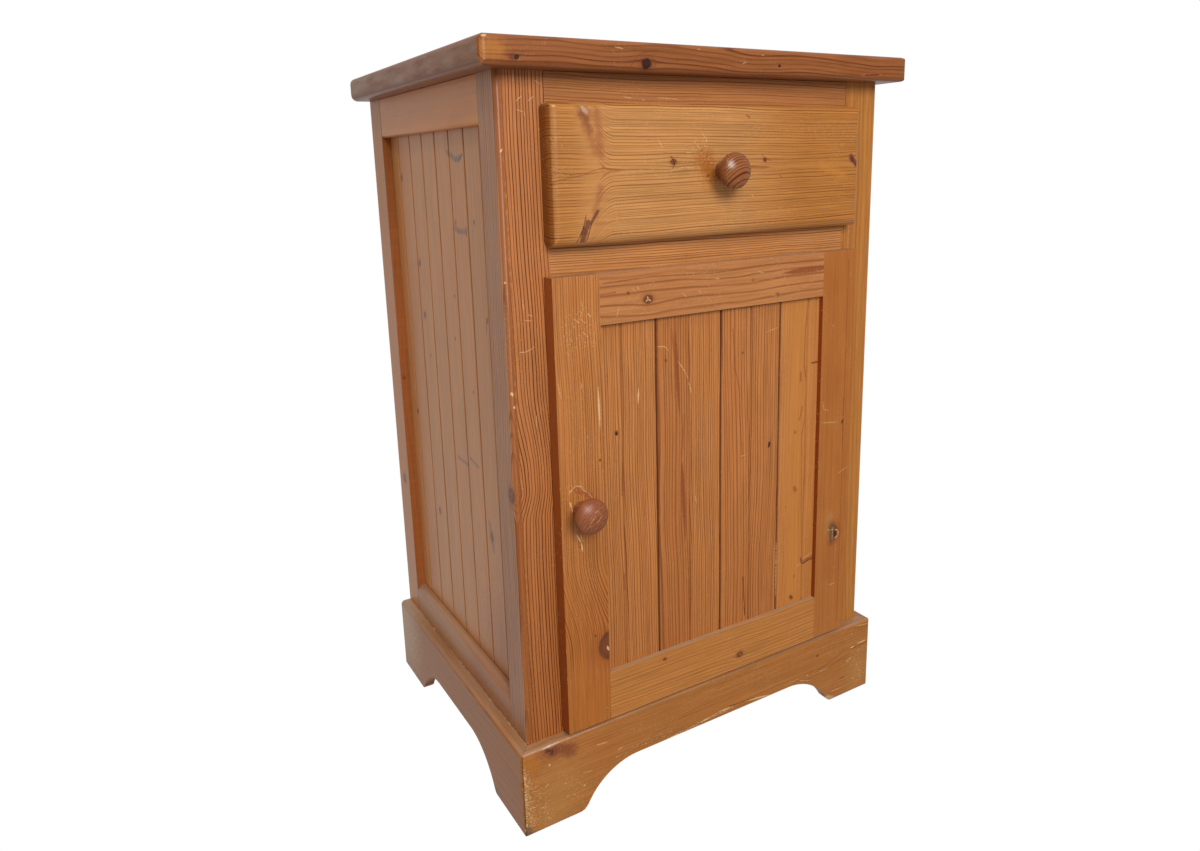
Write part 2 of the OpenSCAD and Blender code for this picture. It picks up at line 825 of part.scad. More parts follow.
module knuckle_bore(z, gap) {
    translate([pin_x, pin_y, z - hinge_h / 2 - over]) cylinder(h = hinge_h + 2 * over, r = pin_r + gap);
}

module hinge_post_leaf_upper() {
    hinge_post_leaf(hinge_z[1]);
}

module hinge_post_leaf_lower() {
    hinge_post_leaf(hinge_z[0]);
}

module hinge_pins() {
    color(brass) at_front() for (z = hinge_z)
        translate([pin_x, pin_y, z - hinge_h / 2]) cylinder(h = hinge_h, r = pin_r);
}

// A leaf's screws stand this far from its ends, and from its far edge
leaf_screw_end = 9;
leaf_screw_edge = 8;
screw_spread = hinge_h / 2 - leaf_screw_end;

module post_leaf_screws(z) {
    for (s = [-1, 1])
        translate([post_in - leaf_t, post_leaf_w - leaf_screw_edge, z + s * screw_spread]) rotate([0, -90, 0]) children();
}

module hinge_post_screws() {
    color(brass) at_front() for (z = hinge_z) post_leaf_screws(z) screw(screw_r, hinge_screw_l);
}

// The leaf let into the back of the door
module door_leaf_plan() {
    sheet([door_half_w - door_leaf_w, pin_x], [door_back_y - leaf_t, door_back_y]);
}

module hinge_door_leaf(z) {
    low = z - hinge_h / 2;
    color(brass) at_front() difference() {
        union() {
            along_z([low, low + hinge_h]) door_leaf_plan();
            knuckles(z, [1], knuckle_r);
        }
        for (n = [0, 2])
            translate([pin_x, pin_y, low + n * knuckle_h - (n == 0 ? over : knuckle_step / 2)])
                cylinder(h = knuckle_h + over + knuckle_step / 2, r = knuckle_r + knuckle_step);
        knuckle_bore(z, pin_gap);
        door_leaf_screws(z) screw_hole(screw_r, hinge_screw_l);
    }
}

module hinge_door_leaf_upper() {
    hinge_door_leaf(hinge_z[1]);
}

module hinge_door_leaf_lower() {
    hinge_door_leaf(hinge_z[0]);
}

module door_leaf_screws(z) {
    for (s = [-1, 1])
        translate([door_half_w - door_leaf_w / 2, door_back_y, z + s * screw_spread])
            rotate([-90, 0, 0]) children();
}

module hinge_door_screws() {
    color(brass) at_front() for (z = hinge_z) door_leaf_screws(z) screw(screw_r, hinge_screw_l);
}

// Catch: its magnet lies between two solid ends, which take the screws
catch_end = 11;
catch_screw_end = 5;

module catch_screw_places() {
    for (s = [-1, 1])
        translate([catch_x + s * (catch_l / 2 - catch_screw_end), catch_y + catch_d / 2, mid_low_z - catch_h])
            rotate([180, 0, 0]) children();
}

magnet_l = catch_l - 2 * catch_end;
magnet_wall = 2.5;

module catch_magnet_block(grow, front) {
    block(
        [catch_x - magnet_l / 2 - grow, catch_x + magnet_l / 2 + grow],
        [front, catch_y + catch_d - magnet_wall + grow],
        [mid_low_z - catch_h + magnet_wall - grow, mid_low_z - magnet_wall + grow]
    );
}

module catch_body() {
    color(plastic) at_front() difference() {
        block(
            [catch_x - catch_l / 2, catch_x + catch_l / 2],
            [catch_y, catch_y + catch_d],
            [mid_low_z - catch_h, mid_low_z]
        );
        catch_magnet_block(joint_gap, catch_y - over);
        catch_screw_places() screw_hole(screw_r, catch_h + catch_screw_in);
    }
}

module catch_magnet() {
    color(steel) at_front() catch_magnet_block(0, catch_y);
}

module catch_screws() {
    color(steel) at_front() catch_screw_places() screw(screw_r, catch_h + catch_screw_in);
}

plate_z = mid_low_z - catch_h / 2;

module catch_plate_places() {
    translate([catch_x, plate_y, plate_z]) rotate([-90, 0, 0]) children();
}

module catch_plate() {
    color(steel) at_front() difference() {
        block(
            [catch_x - magnet_l / 2, catch_x + magnet_l / 2],
            [door_back_y, plate_y],
            [plate_z - catch_h / 2, plate_z + catch_h / 2]
        );
        catch_plate_places() screw_hole(screw_r, catch_screw_in);
    }
}

module catch_plate_screw() {
    color(steel) at_front() catch_plate_places() screw(screw_r, catch_screw_in);
}

// Door

door_groove_y = [door_board_y - joint_gap, door_board_y + door_board_t + joint_gap];
door_tenon_low = [door_low_z + door_tenon_step, door_open_low - door_groove_d];
door_tenon_top = [door_open_top + door_groove_d, door_top_z - door_tenon_step];

// A door rail's tenon, or its mortise where grow is the clearance
module door_tenon(z, grow) {
    block(
        [door_open_x, door_open_x + door_tenon_l + grow],
        [door_board_y - grow, door_board_y + door_board_t + grow],
        [z[0] - grow, z[1] + grow]
    );
}

module door_stile(side) {
    color(pine) at_front() difference() {
        on_side(side) difference() {
            block([door_open_x, door_half_w], [door_face_y, door_back_y], [door_low_z, door_top_z]);
            block(
                [door_open_x - over, door_open_x + door_groove_d],
                door_groove_y,
                [door_open_low - door_groove_d, door_open_top + door_groove_d]
            );
            door_tenon(door_tenon_low, joint_gap);
            door_tenon(door_tenon_top, joint_gap);
            if (side > 0)
                for (z = hinge_z) {
                    block(
                        [door_half_w - door_leaf_w - joint_gap, door_half_w + over],
                        [door_back_y - leaf_t, door_back_y + over],
                        [z - hinge_h / 2 - joint_gap, z + hinge_h / 2 + joint_gap]
                    );
                    door_leaf_screws(z) screw_hole(screw_r, hinge_screw_l);
                }
        }
        if (side < 0) door_knob_place() knob_screw_hole(door_t);
    }
}

module door_rail(z, tenon_z, groove_z) {
    color(pine) at_front() {
        difference() {
            block([-door_open_x, door_open_x], [door_face_y, door_back_y], z);
            block([-door_open_x - over, door_open_x + over], door_groove_y, groove_z);
        }
        for (side = [-1, 1]) on_side(side) door_tenon(tenon_z, 0);
    }
}

module door_top_rail() {
    z = [door_open_top, door_top_z];
    difference() {
        door_rail(z, door_tenon_top, [door_open_top - over, door_open_top + door_groove_d]);
        at_front() catch_plate_places() screw_hole(screw_r, catch_screw_in);
    }
}

module door_bottom_rail() {
    z = [door_low_z, door_open_low];
    door_rail(z, door_tenon_low, [door_open_low - door_groove_d, door_open_low + over]);
}

module door_boards() {
    reach = door_open_x + door_groove_d - shelf_gap;
    z = [door_open_low - door_groove_d + shelf_gap, door_open_top + door_groove_d - shelf_gap];
    color(pine) at_front()
        for (outline = boarding(-reach, reach, door_joints, door_board_w, door_board_t))
            along_z(z) polygon([for (p = outline) [p[0], door_board_y + p[1]]]);
}

// Knobs: the neck hollows a little a short way from the wood, and runs up under the head
neck_hollow = 1.5;
neck_hollow_at = 5;
neck_under_head = 2;

// The turned section of a knob: x is the radius, y the distance from the wood
module knob_section() {
    tip = [knob_ring, knob_waist] + knob_edge_r * [knob_ring, knob_waist - dome_c] / (knob_dome_r - knob_edge_r);
    intersection() {
        union() {
            translate([knob_ring, knob_waist]) circle(knob_edge_r);
            intersection() {
                translate([0, dome_c]) circle(knob_dome_r);
                polygon([[0, knob_waist], [knob_ring, knob_waist], tip, [tip[0], knob_l + over], [0, knob_l + over]]);
            }
            polygon([
                [0, 0], [neck_r, 0], [neck_r - neck_hollow, neck_hollow_at],
                [knob_ring, knob_waist - neck_under_head], [knob_ring, knob_waist], [0, knob_waist + over]
            ]);
        }
        sheet([0, 2 * knob_r], [0, 2 * knob_l]);
    }
}

module knob() {
    color(pine_dark) difference() {
        rotate([90, 0, 0]) rotate_extrude($fn = 96) knob_section();
        rotate([90, 0, 0]) translate([0, 0, -over])
            cylinder(h = knob_screw_in + over + joint_gap, r = knob_screw_r + joint_gap / 2);
    }
}

knob_screw_head_r = 2.2 * knob_screw_r;

module knob_screw(through) {
    rotate([90, 0, 0]) translate([0, 0, -through]) {
        cylinder(h = through + knob_screw_in, r = knob_screw_r);
        translate([0, 0, -knob_screw_r]) cylinder(h = knob_screw_r, r = knob_screw_head_r);
    }
}

module knob_screw_hole(through) {
    rotate([90, 0, 0]) translate([0, 0, -through - over])
        cylinder(h = through + 2 * over, r = knob_screw_r + joint_gap / 2);
}

module door_knob_place() {
    translate([door_knob_x - door_half_w, door_face_y, door_low_z + door_knob_z]) children();
}

module drawer_knob_place() {
    translate([0, drawer_face_y, drawer_mid_z]) children();
}

module door_knob() {
    at_front() door_knob_place() knob();
}

module door_knob_screw() {
    color(steel) at_front() door_knob_place() knob_screw(door_t);
}

module drawer_knob() {
    at_front() drawer_knob_place() knob();
}

module drawer_knob_screw() {
    color(steel) at_front() drawer_knob_place() knob_screw(drawer_front_t + box_front_t);
}

// Drawer

// The tails of a drawer side, in (y, z): grow is the clearance of their sockets
module tails_face(grow) {
    pitch = drawer_side_h / tails;
    for (n = [0 : tails - 1])
        translate([box_y, box_z + (n + 0.5) * pitch]) polygon([
            [-grow, -tail_root - tail_spread - grow],
            [box_front_t + grow, -tail_root - grow],
            [box_front_t + grow, tail_root + grow],
            [-grow, tail_root + tail_spread + grow]
        ]);
}

module drawer_side(side) {
    on_side(side) color(pine_pale) at_front() difference() {
        union() {
            along_x([box_in, box_half_w]) tails_face(0);
            block([box_in, box_half_w], [box_front_in, box_y + drawer_l], [box_z, box_z + drawer_side_h]);
        }
        block(
            [box_in - over, box_in + drawer_groove],
            [box_front_in, box_y + drawer_l + over],
            [panel_z - joint_gap, panel_z + drawer_bottom_t + joint_gap]
        );
        block(
            [box_in - over, box_in + drawer_groove],
            [drawer_back_y - joint_gap, drawer_back_y + drawer_back_t + joint_gap],
            [panel_z, box_z + drawer_side_h + over]
        );
    }
}

module drawer_box_front() {
    color(pine_pale) at_front() difference() {
        block([-box_half_w, box_half_w], [box_y, box_front_in], [box_z, box_z + drawer_side_h]);
        for (side = [-1, 1]) on_side(side)
            along_x([box_in - joint_gap, box_half_w + over]) tails_face(joint_gap);
        block(
            [-box_in + over, box_in - over],
            [box_front_in - drawer_groove, box_front_in + over],
            [panel_z - joint_gap, panel_z + drawer_bottom_t + joint_gap]
        );
        drawer_knob_place() knob_screw_hole(drawer_front_t + box_front_t);
        drawer_front_screw_places() screw_hole(screw_r, box_front_t + front_screw_in);
    }
}

// The back stands lower than the sides, so that it clears the case as the drawer tips
drawer_back_drop = 4;

module drawer_back() {
    reach = box_in + drawer_groove - joint_gap;
    color(pine_pale) at_front() block(
        [-reach, reach],
        [drawer_back_y, drawer_back_y + drawer_back_t],
        [panel_z + drawer_bottom_t + joint_gap, box_z + drawer_side_h - drawer_back_drop]
    );
}

module drawer_bottom() {
    wide = box_in + drawer_groove - joint_gap;
    narrow = box_in - over - joint_gap;
    front = box_front_in - drawer_groove + joint_gap;
    back = drawer_back_y + drawer_back_t;
    color(pine_pale) at_front() along_z([panel_z, panel_z + drawer_bottom_t]) polygon([
        [-narrow, front], [narrow, front], [narrow, box_front_in + joint_gap],
        [wide, box_front_in + joint_gap], [wide, back], [-wide, back],
        [-wide, box_front_in + joint_gap], [-narrow, box_front_in + joint_gap]
    ]);
}

module drawer_front() {
    x = post_in + drawer_overlap_x;
    z = [drawer_low_z - drawer_overlap_z, drawer_top_z + drawer_overlap_z];
    color(pine) at_front() difference() {
        intersection() {
            along_z(z) difference() {
                sheet([-x, x], [drawer_face_y, box_y]);
                for (side = [-1, 1]) corner_cut([side * x, drawer_face_y], [-side, 1], drawer_edge_r);
            }
            along_x([-x, x]) difference() {
                sheet([drawer_face_y, box_y], z);
                corner_cut([drawer_face_y, z[0]], [1, 1], drawer_edge_r);
                corner_cut([drawer_face_y, z[1]], [1, -1], drawer_edge_r);
            }
            along_y([drawer_face_y, box_y]) difference() {
                sheet([-x, x], z);
                for (side = [-1, 1]) {
                    corner_cut([side * x, z[0]], [-side, 1], drawer_corner_r);
                    corner_cut([side * x, z[1]], [-side, -1], drawer_corner_r);
                }
            }
        }
        drawer_knob_place() knob_screw_hole(drawer_front_t + box_front_t);
        drawer_front_screw_places() screw_hole(screw_r, box_front_t + front_screw_in);
    }
}

front_screw_inset = 40;
front_screw_x = box_in - front_screw_inset;
front_screw_z = drawer_side_h / 4;

module drawer_front_screw_places() {
    for (side = [-1, 1])
        for (s = [-1, 1])
            translate([side * front_screw_x, box_front_in, drawer_mid_z + s * front_screw_z])
                rotate([-90, 0, 0]) children();
}

module drawer_front_screws() {
    color(steel) at_front() drawer_front_screw_places() screw(screw_r, box_front_t + front_screw_in);
}

top_board();
front_post(-1);  // front_post_left
front_post(1);  // front_post_right
rear_stile(-1);  // rear_stile_left
rear_stile(1);  // rear_stile_right
side_top_rail(-1);  // side_top_rail_left
side_top_rail(1);  // side_top_rail_right
side_bottom_rail(-1);  // side_bottom_rail_left
side_bottom_rail(1);  // side_bottom_rail_right
side_boards(-1);  // side_boards_left
side_boards(1);  // side_boards_right
front_top_rail();
front_mid_rail();
front_bottom_rail();
rear_top_rail();
rear_bottom_rail();
back_boards();
back_nails();
bottom_board();
bottom_bearers();
shelf();
shelf_bearers();
drawer_runner(-1);  // drawer_runner_left
drawer_runner(1);  // drawer_runner_right
drawer_guides();
drawer_kickers();
top_screws();
plinth_front();
plinth_side(-1);  // plinth_left
plinth_side(1);  // plinth_right
hinge_post_leaf_upper();
hinge_post_leaf_lower();
hinge_pins();
hinge_post_screws();
catch_body();
catch_magnet();
catch_screws();
door_stile(-1);  // door_stile_left
door_stile(1);  // door_stile_right
door_top_rail();
door_bottom_rail();
door_boards();
door_knob();
door_knob_screw();
hinge_door_leaf_upper();
hinge_door_leaf_lower();
hinge_door_screws();
catch_plate();
catch_plate_screw();
drawer_front();
drawer_box_front();
drawer_side(-1);  // drawer_side_left
drawer_side(1);  // drawer_side_right
drawer_back();
drawer_bottom();
drawer_knob();
drawer_knob_screw();
drawer_front_screws();
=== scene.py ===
# %% [markdown]
# # A pine jam cupboard
# This lesson dresses a small antique-pine cupboard: an overhanging top, one drawer over one
# framed door, boarded sides and a shaped plinth. The joinery comes as a fixed model, already
# cut and hinged. What is left is what a finisher does: light it, ease its arrises, and give
# each board its own grain, knots, lacquer and wear.

import json
import math

import bpy
from mathutils import Matrix, Vector

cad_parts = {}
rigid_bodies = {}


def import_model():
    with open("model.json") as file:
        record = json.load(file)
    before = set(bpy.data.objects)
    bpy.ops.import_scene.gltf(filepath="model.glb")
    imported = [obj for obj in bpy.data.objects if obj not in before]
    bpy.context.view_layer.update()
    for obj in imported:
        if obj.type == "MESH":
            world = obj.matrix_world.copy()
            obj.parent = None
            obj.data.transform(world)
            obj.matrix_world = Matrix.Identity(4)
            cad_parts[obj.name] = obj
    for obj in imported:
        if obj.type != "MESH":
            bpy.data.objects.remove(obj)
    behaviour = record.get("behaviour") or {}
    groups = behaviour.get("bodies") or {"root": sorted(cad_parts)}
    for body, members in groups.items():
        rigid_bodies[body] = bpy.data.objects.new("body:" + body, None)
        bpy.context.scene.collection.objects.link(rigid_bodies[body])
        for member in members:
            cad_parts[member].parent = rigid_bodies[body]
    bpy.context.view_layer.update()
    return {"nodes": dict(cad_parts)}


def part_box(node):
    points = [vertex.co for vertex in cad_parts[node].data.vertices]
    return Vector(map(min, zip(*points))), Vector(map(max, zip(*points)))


for thing in list(bpy.data.objects):
    bpy.data.objects.remove(thing)
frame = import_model()
print("pieces of joinery:", len(frame["nodes"]))

# %% [markdown]
# ## The camera
# The cupboard was photographed from its left front corner, a little below the height of its
# top. A camera could be aimed with a constraint, but then its tilt and roll are hard to read.
# Here its three directions are worked out from a turn, a dip and a roll, as a surveyor would,
# and its lens from how many pixels one metre fills at one metre.

# %% Place the camera
PHOTO_WIDTH = 1200
SENSOR = 36.0
PIXELS_AT_ONE_METRE = 863.6
CAMERA_PLACE = Vector((-0.5290, -0.8396, 0.6436))
TURN = math.radians(30.739)
DIP = math.radians(12.554)
ROLL = math.radians(-1.464)
LENS_SHIFT = (-0.0071, -0.0549)

ahead = Vector((math.sin(TURN) * math.cos(DIP), math.cos(TURN) * math.cos(DIP), -math.sin(DIP)))
level_right = Vector((math.cos(TURN), -math.sin(TURN), 0.0))
level_up = level_right.cross(ahead)
right = level_right * math.cos(ROLL) + level_up * math.sin(ROLL)
up = level_up * math.cos(ROLL) - level_right * math.sin(ROLL)

camera_data = bpy.data.cameras.new("camera")
camera_data.sensor_width = SENSOR
camera_data.lens = PIXELS_AT_ONE_METRE * SENSOR / PHOTO_WIDTH
camera_data.shift_x, camera_data.shift_y = LENS_SHIFT
camera_data.clip_start = 0.01
camera = bpy.data.objects.new("camera", camera_data)
camera.matrix_world = Matrix.Translation(CAMERA_PLACE) @ Matrix((right, up, -ahead)).transposed().to_4x4()
bpy.context.scene.collection.objects.link(camera)
bpy.context.scene.camera = camera
print("lens in millimetres:", round(camera_data.lens, 3))

# %% [markdown]
# ## Light
# The room was bright and the background has gone to plain white. The world's nodes could be
# placed by hand, but a few plain functions say the same in fewer lines. The world lights the
# wood from all sides at less than half of white. The camera sees it as white, and polished
# wood mirrors it dimmer, most of all in a face turned to the front, where the room was dark.

# %% The world
ROOM_LIGHT = 0.46
ROOM_COLOUR = (0.97, 0.98, 1.0, 1.0)
WHITE = (1.0, 1.0, 1.0, 1.0)

# How bright the room looks in polished wood, at its front end and at its back end
DARK_END = 0.04
BRIGHT_END = 0.62
DARK_END_AT = -0.6
BRIGHT_END_AT = 0.5


def add(tree, kind, *values, **settings):
    """A node with these settings, and its first inputs plugged in or filled in, in their order."""
    node = tree.nodes.new("ShaderNode" + kind)
    for name, value in settings.items():
        setattr(node, name, value)
    for socket, value in zip(node.inputs, values):
        if isinstance(value, bpy.types.NodeSocket):
            tree.links.new(value, socket)
        elif value is not None:
            socket.default_value = value
    return node


def level_seen(tree, forwards):
    """How bright the room looks, whether a camera or a mirror sees it, and whether a camera does."""
    path = add(tree, "LightPath").outputs
    on_camera = path["Is Camera Ray"]
    dimmer = add(tree, "MapRange", forwards, DARK_END_AT, BRIGHT_END_AT, DARK_END, BRIGHT_END)
    level = add(tree, "Math", on_camera, dimmer.outputs[0], operation="MAXIMUM")
    either = add(tree, "Math", on_camera, path["Is Glossy Ray"], operation="MAXIMUM")
    seen = add(tree, "Math", either.outputs[0], path["Is Transmission Ray"], operation="MAXIMUM")
    return level.outputs[0], seen.outputs[0], on_camera


world = bpy.data.worlds.new("white room")
world.use_nodes = True
bpy.context.scene.world = world
sky = world.node_tree
sky.nodes.clear()
look = add(sky, "TexCoord").outputs["Generated"]
room_level, room_seen, _ = level_seen(sky, add(sky, "SeparateXYZ", look).outputs["Y"])
room = add(sky, "Background", ROOM_COLOUR, ROOM_LIGHT)
backdrop = add(sky, "Background", WHITE, room_level)
choose_sky = add(sky, "MixShader", room_seen, room.outputs[0], backdrop.outputs[0])
add(sky, "OutputWorld", choose_sky.outputs[0])
bpy.context.scene.view_settings.view_transform = "Standard"
print("the room lights the wood at", ROOM_LIGHT, "of white")

# %% [markdown]
# ## Lamps
# One broad lamp above and in front throws the soft shadows under the top and the knobs, and a
# small one overhead gives the knobs their highlight. A sun would be simpler, but its shadows
# have hard edges. Each lamp is set by how light it makes a white board, not by its watts, so
# it can be moved and still give the same light.

# %% The lamps
AIM = Vector((0.0, -0.1, 0.45))


def hang_lamp(name, towards, distance, size, level):
    """A square lamp that lights a white board at AIM to that level, where 1 is full white."""
    data = bpy.data.lights.new(name, "AREA")
    data.shape = "SQUARE"
    data.size = size
    data.energy = level * math.pi * math.pi * distance * distance
    lamp = bpy.data.objects.new(name, data)
    direction = Vector(towards).normalized()
    lamp.location = AIM + direction * distance
    lamp.rotation_euler = direction.to_track_quat("Z", "Y").to_euler()
    bpy.context.scene.collection.objects.link(lamp)
    print(name, "in watts:", round(data.energy, 2))


hang_lamp("broad lamp", (-0.16, -0.84, 0.50), distance=3.0, size=1.3, level=0.72)
hang_lamp("ceiling lamp", (-0.45, -0.39, 0.80), distance=2.6, size=0.35, level=0.12)

# %% [markdown]
# ## The floor
# The photo has no floor, only white, and a cupboard without a shadow floats. A shadow could be
# painted, but it would fit one lamp only. So a real pale floor catches the shadow near the
# feet and fades to white further out. To the wood it is a plain floor that light bounces off.

# %% The floor
FLOOR_SIDE = 30.0
FADE_FROM = 0.30
FADE_TO = 0.75
FLOOR_PAINT = (0.8, 0.8, 0.8, 1.0)
FLOOR_GLOW = 0.30
FLOOR_BOUNCE = (0.5, 0.49, 0.47, 1.0)


def pale_floor():
    """A big pale floor that keeps the cupboard's shadow near it and fades to white further out."""
    mesh = bpy.data.meshes.new("floor")
    half = FLOOR_SIDE / 2
    corners = [(-half, -half, 0), (half, -half, 0), (half, half, 0), (-half, half, 0)]
    mesh.from_pydata(corners, [], [(0, 1, 2, 3)])
    floor = bpy.data.objects.new("floor", mesh)
    material = bpy.data.materials.new("pale floor")
    material.use_nodes = True
    tree = material.node_tree
    tree.nodes.clear()
    place = add(tree, "TexCoord").outputs["Object"]
    level, seen, on_camera = level_seen(tree, add(tree, "SeparateXYZ", place).outputs["Y"])
    distance = add(tree, "VectorMath", place, operation="LENGTH").outputs["Value"]
    far = add(tree, "MapRange", distance, FADE_FROM, FADE_TO, interpolation_type="SMOOTHSTEP")
    paint = add(tree, "BsdfDiffuse", FLOOR_PAINT)
    glow = add(tree, "Emission", None, FLOOR_GLOW)
    near = add(tree, "AddShader", paint.outputs[0], glow.outputs[0])
    white = add(tree, "Emission")
    on_view = add(tree, "MixShader", far.outputs[0], near.outputs[0], white.outputs[0])
    mirrored = add(tree, "Emission", None, level)
    to_eye = add(tree, "MixShader", on_camera, mirrored.outputs[0], on_view.outputs[0])
    bounce = add(tree, "BsdfDiffuse", FLOOR_BOUNCE)
    choose = add(tree, "MixShader", seen, bounce.outputs[0], to_eye.outputs[0])
    add(tree, "OutputMaterial", choose.outputs[0])
    mesh.materials.append(material)
    print("floor side in metres:", FLOOR_SIDE)


pale_floor()

# %% [markdown]
# ## Writing a finish as sums
# A material's nodes can be placed one by one, but a board's grain needs dozens of them. So a
# small class stands for a number in the node tree, and Python's own signs add the nodes. The
# recipe for the wood then reads like a formula. All lengths in a finish are millimetres.

# %% Numbers in a material


class Number:
    """A number in a finish, which +, -, *, / and the functions below turn into nodes."""

    def __init__(self, finish, socket):
        self.finish = finish
        self.socket = socket

    def __rsub__(self, other):
        return self.finish.sum("SUBTRACT", other, self)

    def rise(self, low, high):
        """0 below low, 1 above high, and smooth between."""
        ramp = self.finish.node("MapRange", self, low, high, interpolation_type="SMOOTHSTEP")
        return Number(self.finish, ramp.outputs[0])

    def fall(self, low, high):
        return 1.0 - self.rise(low, high)


def in_one_node(operation):
    """A function of numbers that adds one node to their finish."""
    return lambda first, *others: first.finish.sum(operation, first, *others)


OPERATIONS = dict(
    __add__="ADD", __radd__="ADD", __sub__="SUBTRACT", __mul__="MULTIPLY", __rmul__="MULTIPLY",
    __truediv__="DIVIDE", least="MINIMUM", most="MAXIMUM", size="ABSOLUTE", root="SQRT",
    whole="FLOOR", wave="SINE", beyond="GREATER_THAN",
)
for name, operation in OPERATIONS.items():
    setattr(Number, name, in_one_node(operation))
print("a number knows", len(OPERATIONS), "signs and functions")

# %% Noise and colours in a material


def linear(red, green, blue):
    """A colour as read off a photograph, 0 to 255, as the shader wants it."""

    def one(level):
        level = level / 255
        return level / 12.92 if level <= 0.04045 else ((level + 0.055) / 1.055) ** 2.4

    return (one(red), one(green), one(blue), 1.0)


def plug(value):
    """What goes into an input: a Number's socket, or the value itself."""
    return value.socket if isinstance(value, Number) else value


class Sums:
    """A tree of nodes, and the few kinds of sum and noise that wood needs."""

    def __init__(self, tree):
        self.tree = tree

    def node(self, kind, *values, **settings):
        return add(self.tree, kind, *map(plug, values), **settings)

    def put(self, socket, value):
        if isinstance(plug(value), bpy.types.NodeSocket):
            self.tree.links.new(plug(value), socket)
        else:
            socket.default_value = value

    def sum(self, operation, *values):
        return Number(self, self.node("Math", *values, operation=operation).outputs[0])

    def noise(self, x, y, z, detail=2.0):
        """Cloudy noise from 0 to 1, about 0.5, with one cell to each unit of x, y and z."""
        place = self.node("CombineXYZ", x, y, z).outputs[0]
        return Number(self, self.node("TexNoise", place, None, 1.0, detail).outputs[0])

    def wander(self, along, seed):
        """A smooth line that wanders between about -1 and 1."""
        node = self.node("TexNoise", None, along + seed, 1.0, 1.0, noise_dimensions="1D")
        return Number(self, node.outputs[0]) * 2.0 - 1.0

    def lot(self, number):
        """A fixed lot from 0 to 1 for each whole number."""
        node = self.node("TexWhiteNoise", None, number, noise_dimensions="1D")
        return Number(self, node.outputs[0])

    def steps(self, place, edges, values):
        """The first value up to the first edge, the next value up to the second edge, and so on."""
        total = place.beyond(edges[0]) * (values[1] - values[0]) + values[0]
        for n, edge in enumerate(edges[1:], start=1):
            total = total + place.beyond(edge) * (values[n + 1] - values[n])
        return total

    def blend(self, share, first, second, **settings):
        """From the first colour to the second as share goes from 0 to 1."""
        node = self.node("Mix", share, data_type="RGBA", **settings)
        self.put(node.inputs[6], first)
        self.put(node.inputs[7], second)
        return node.outputs[2]

    def tint(self, share, colour, by):
        """The colour multiplied more and more by a tint as share goes from 0 to 1."""
        return self.blend(share, colour, by, blend_type="MULTIPLY")

    def lighten(self, colour, factor):
        node = self.node("HueSaturation")
        self.put(node.inputs["Value"], factor)
        self.put(node.inputs["Color"], colour)
        return node.outputs[0]


class Finish(Sums):
    """One material, which knows where a point of the board is and which way it faces."""

    def __init__(self, name):
        self.material = bpy.data.materials.new(name)
        self.material.use_nodes = True
        super().__init__(self.material.node_tree)
        self.shader = self.tree.nodes["Principled BSDF"]
        texture = self.node("TexCoord").outputs
        place = self.node("SeparateXYZ", texture["Object"]).outputs
        facing = self.node("SeparateXYZ", texture["Normal"]).outputs
        self.place = {axis: Number(self, place[n]) * 1000.0 for n, axis in enumerate("xyz")}
        self.facing = {axis: Number(self, facing[n]) for n, axis in enumerate("xyz")}

    def use(self, colour, roughness, height):
        """Colour, gloss and fine relief to the shader. Relief is in millimetres."""
        self.put(self.shader.inputs["Base Color"], colour)
        self.put(self.shader.inputs["Roughness"], roughness)
        bump = self.node("Bump")
        self.put(bump.inputs["Distance"], 0.001)
        self.put(bump.inputs["Height"], height)
        self.put(self.shader.inputs["Normal"], bump.outputs[0])
        return self.material


print("mid grey, 128 of 255, is this much light:", round(linear(128, 128, 128)[0], 3))

# %% [markdown]
# ## Pine
# A pine board is a slice through a cone of rings. Wood could be painted as stripes, but then
# its end grain, its edges and its arches never agree. Here each board says where the pith ran,
# and the distance from it gives the rings, so every cut face shows what a saw would show.

# %% Colours of old pine
RUSSET = linear(158, 84, 42)
UMBER = linear(118, 60, 26)
BARE_WOOD = linear(226, 184, 130)
KNOT_HEART = linear(112, 62, 42)
KNOT_RIM = linear(64, 30, 22)
# Dust, and a painted highlight, for faces turned up
DUST = linear(176, 150, 122)
GROOVE_DIRT = linear(94, 48, 24)
GREY_KNOT = linear(96, 76, 74)
# Grey of fading, with painted sheen, for faces turned to the left
FADED = linear(164, 133, 107)
# A tint for painted shade towards one end of a board
DEEP_LACQUER = (0.84, 0.71, 0.46, 1.0)

# How red, green and blue the parts of a board are, against its own colour
EARLY_WOOD = (1.20, 1.29, 1.44)
LATE_WOOD = (0.56, 0.39, 0.24)
FLUSHED = (0.80, 0.66, 0.66)
CUT_END = (0.67, 0.53, 0.39)
CUT_END_LINE = (0.16, 0.10, 0.06)
# Painted shade for faces turned across the grain
FLANK = (0.73, 0.40, 0.17)
KNOT_SHADOW = (0.74, 0.56, 0.50)


def shade(colour, parts, times=1.0):
    """A colour with red, green and blue made weaker or stronger, so many times over."""
    return (*(level * part**times for level, part in zip(colour, parts)), 1.0)


# %% [markdown]
# ## Strokes
# Scratches, stains and small knots are drawn where they sit on the real cupboard. Random ones
# would be quicker, but then no face would be this cupboard's. There are nearly three hundred,
# and each needs a few dozen nodes, so each kind is built once as a node group, like a painter's
# stencil. A board then lays the stencil down at its own places in millimetres, read from a
# list such as pale 0.7 678 -186 666 -177: kind, width, and points to join.

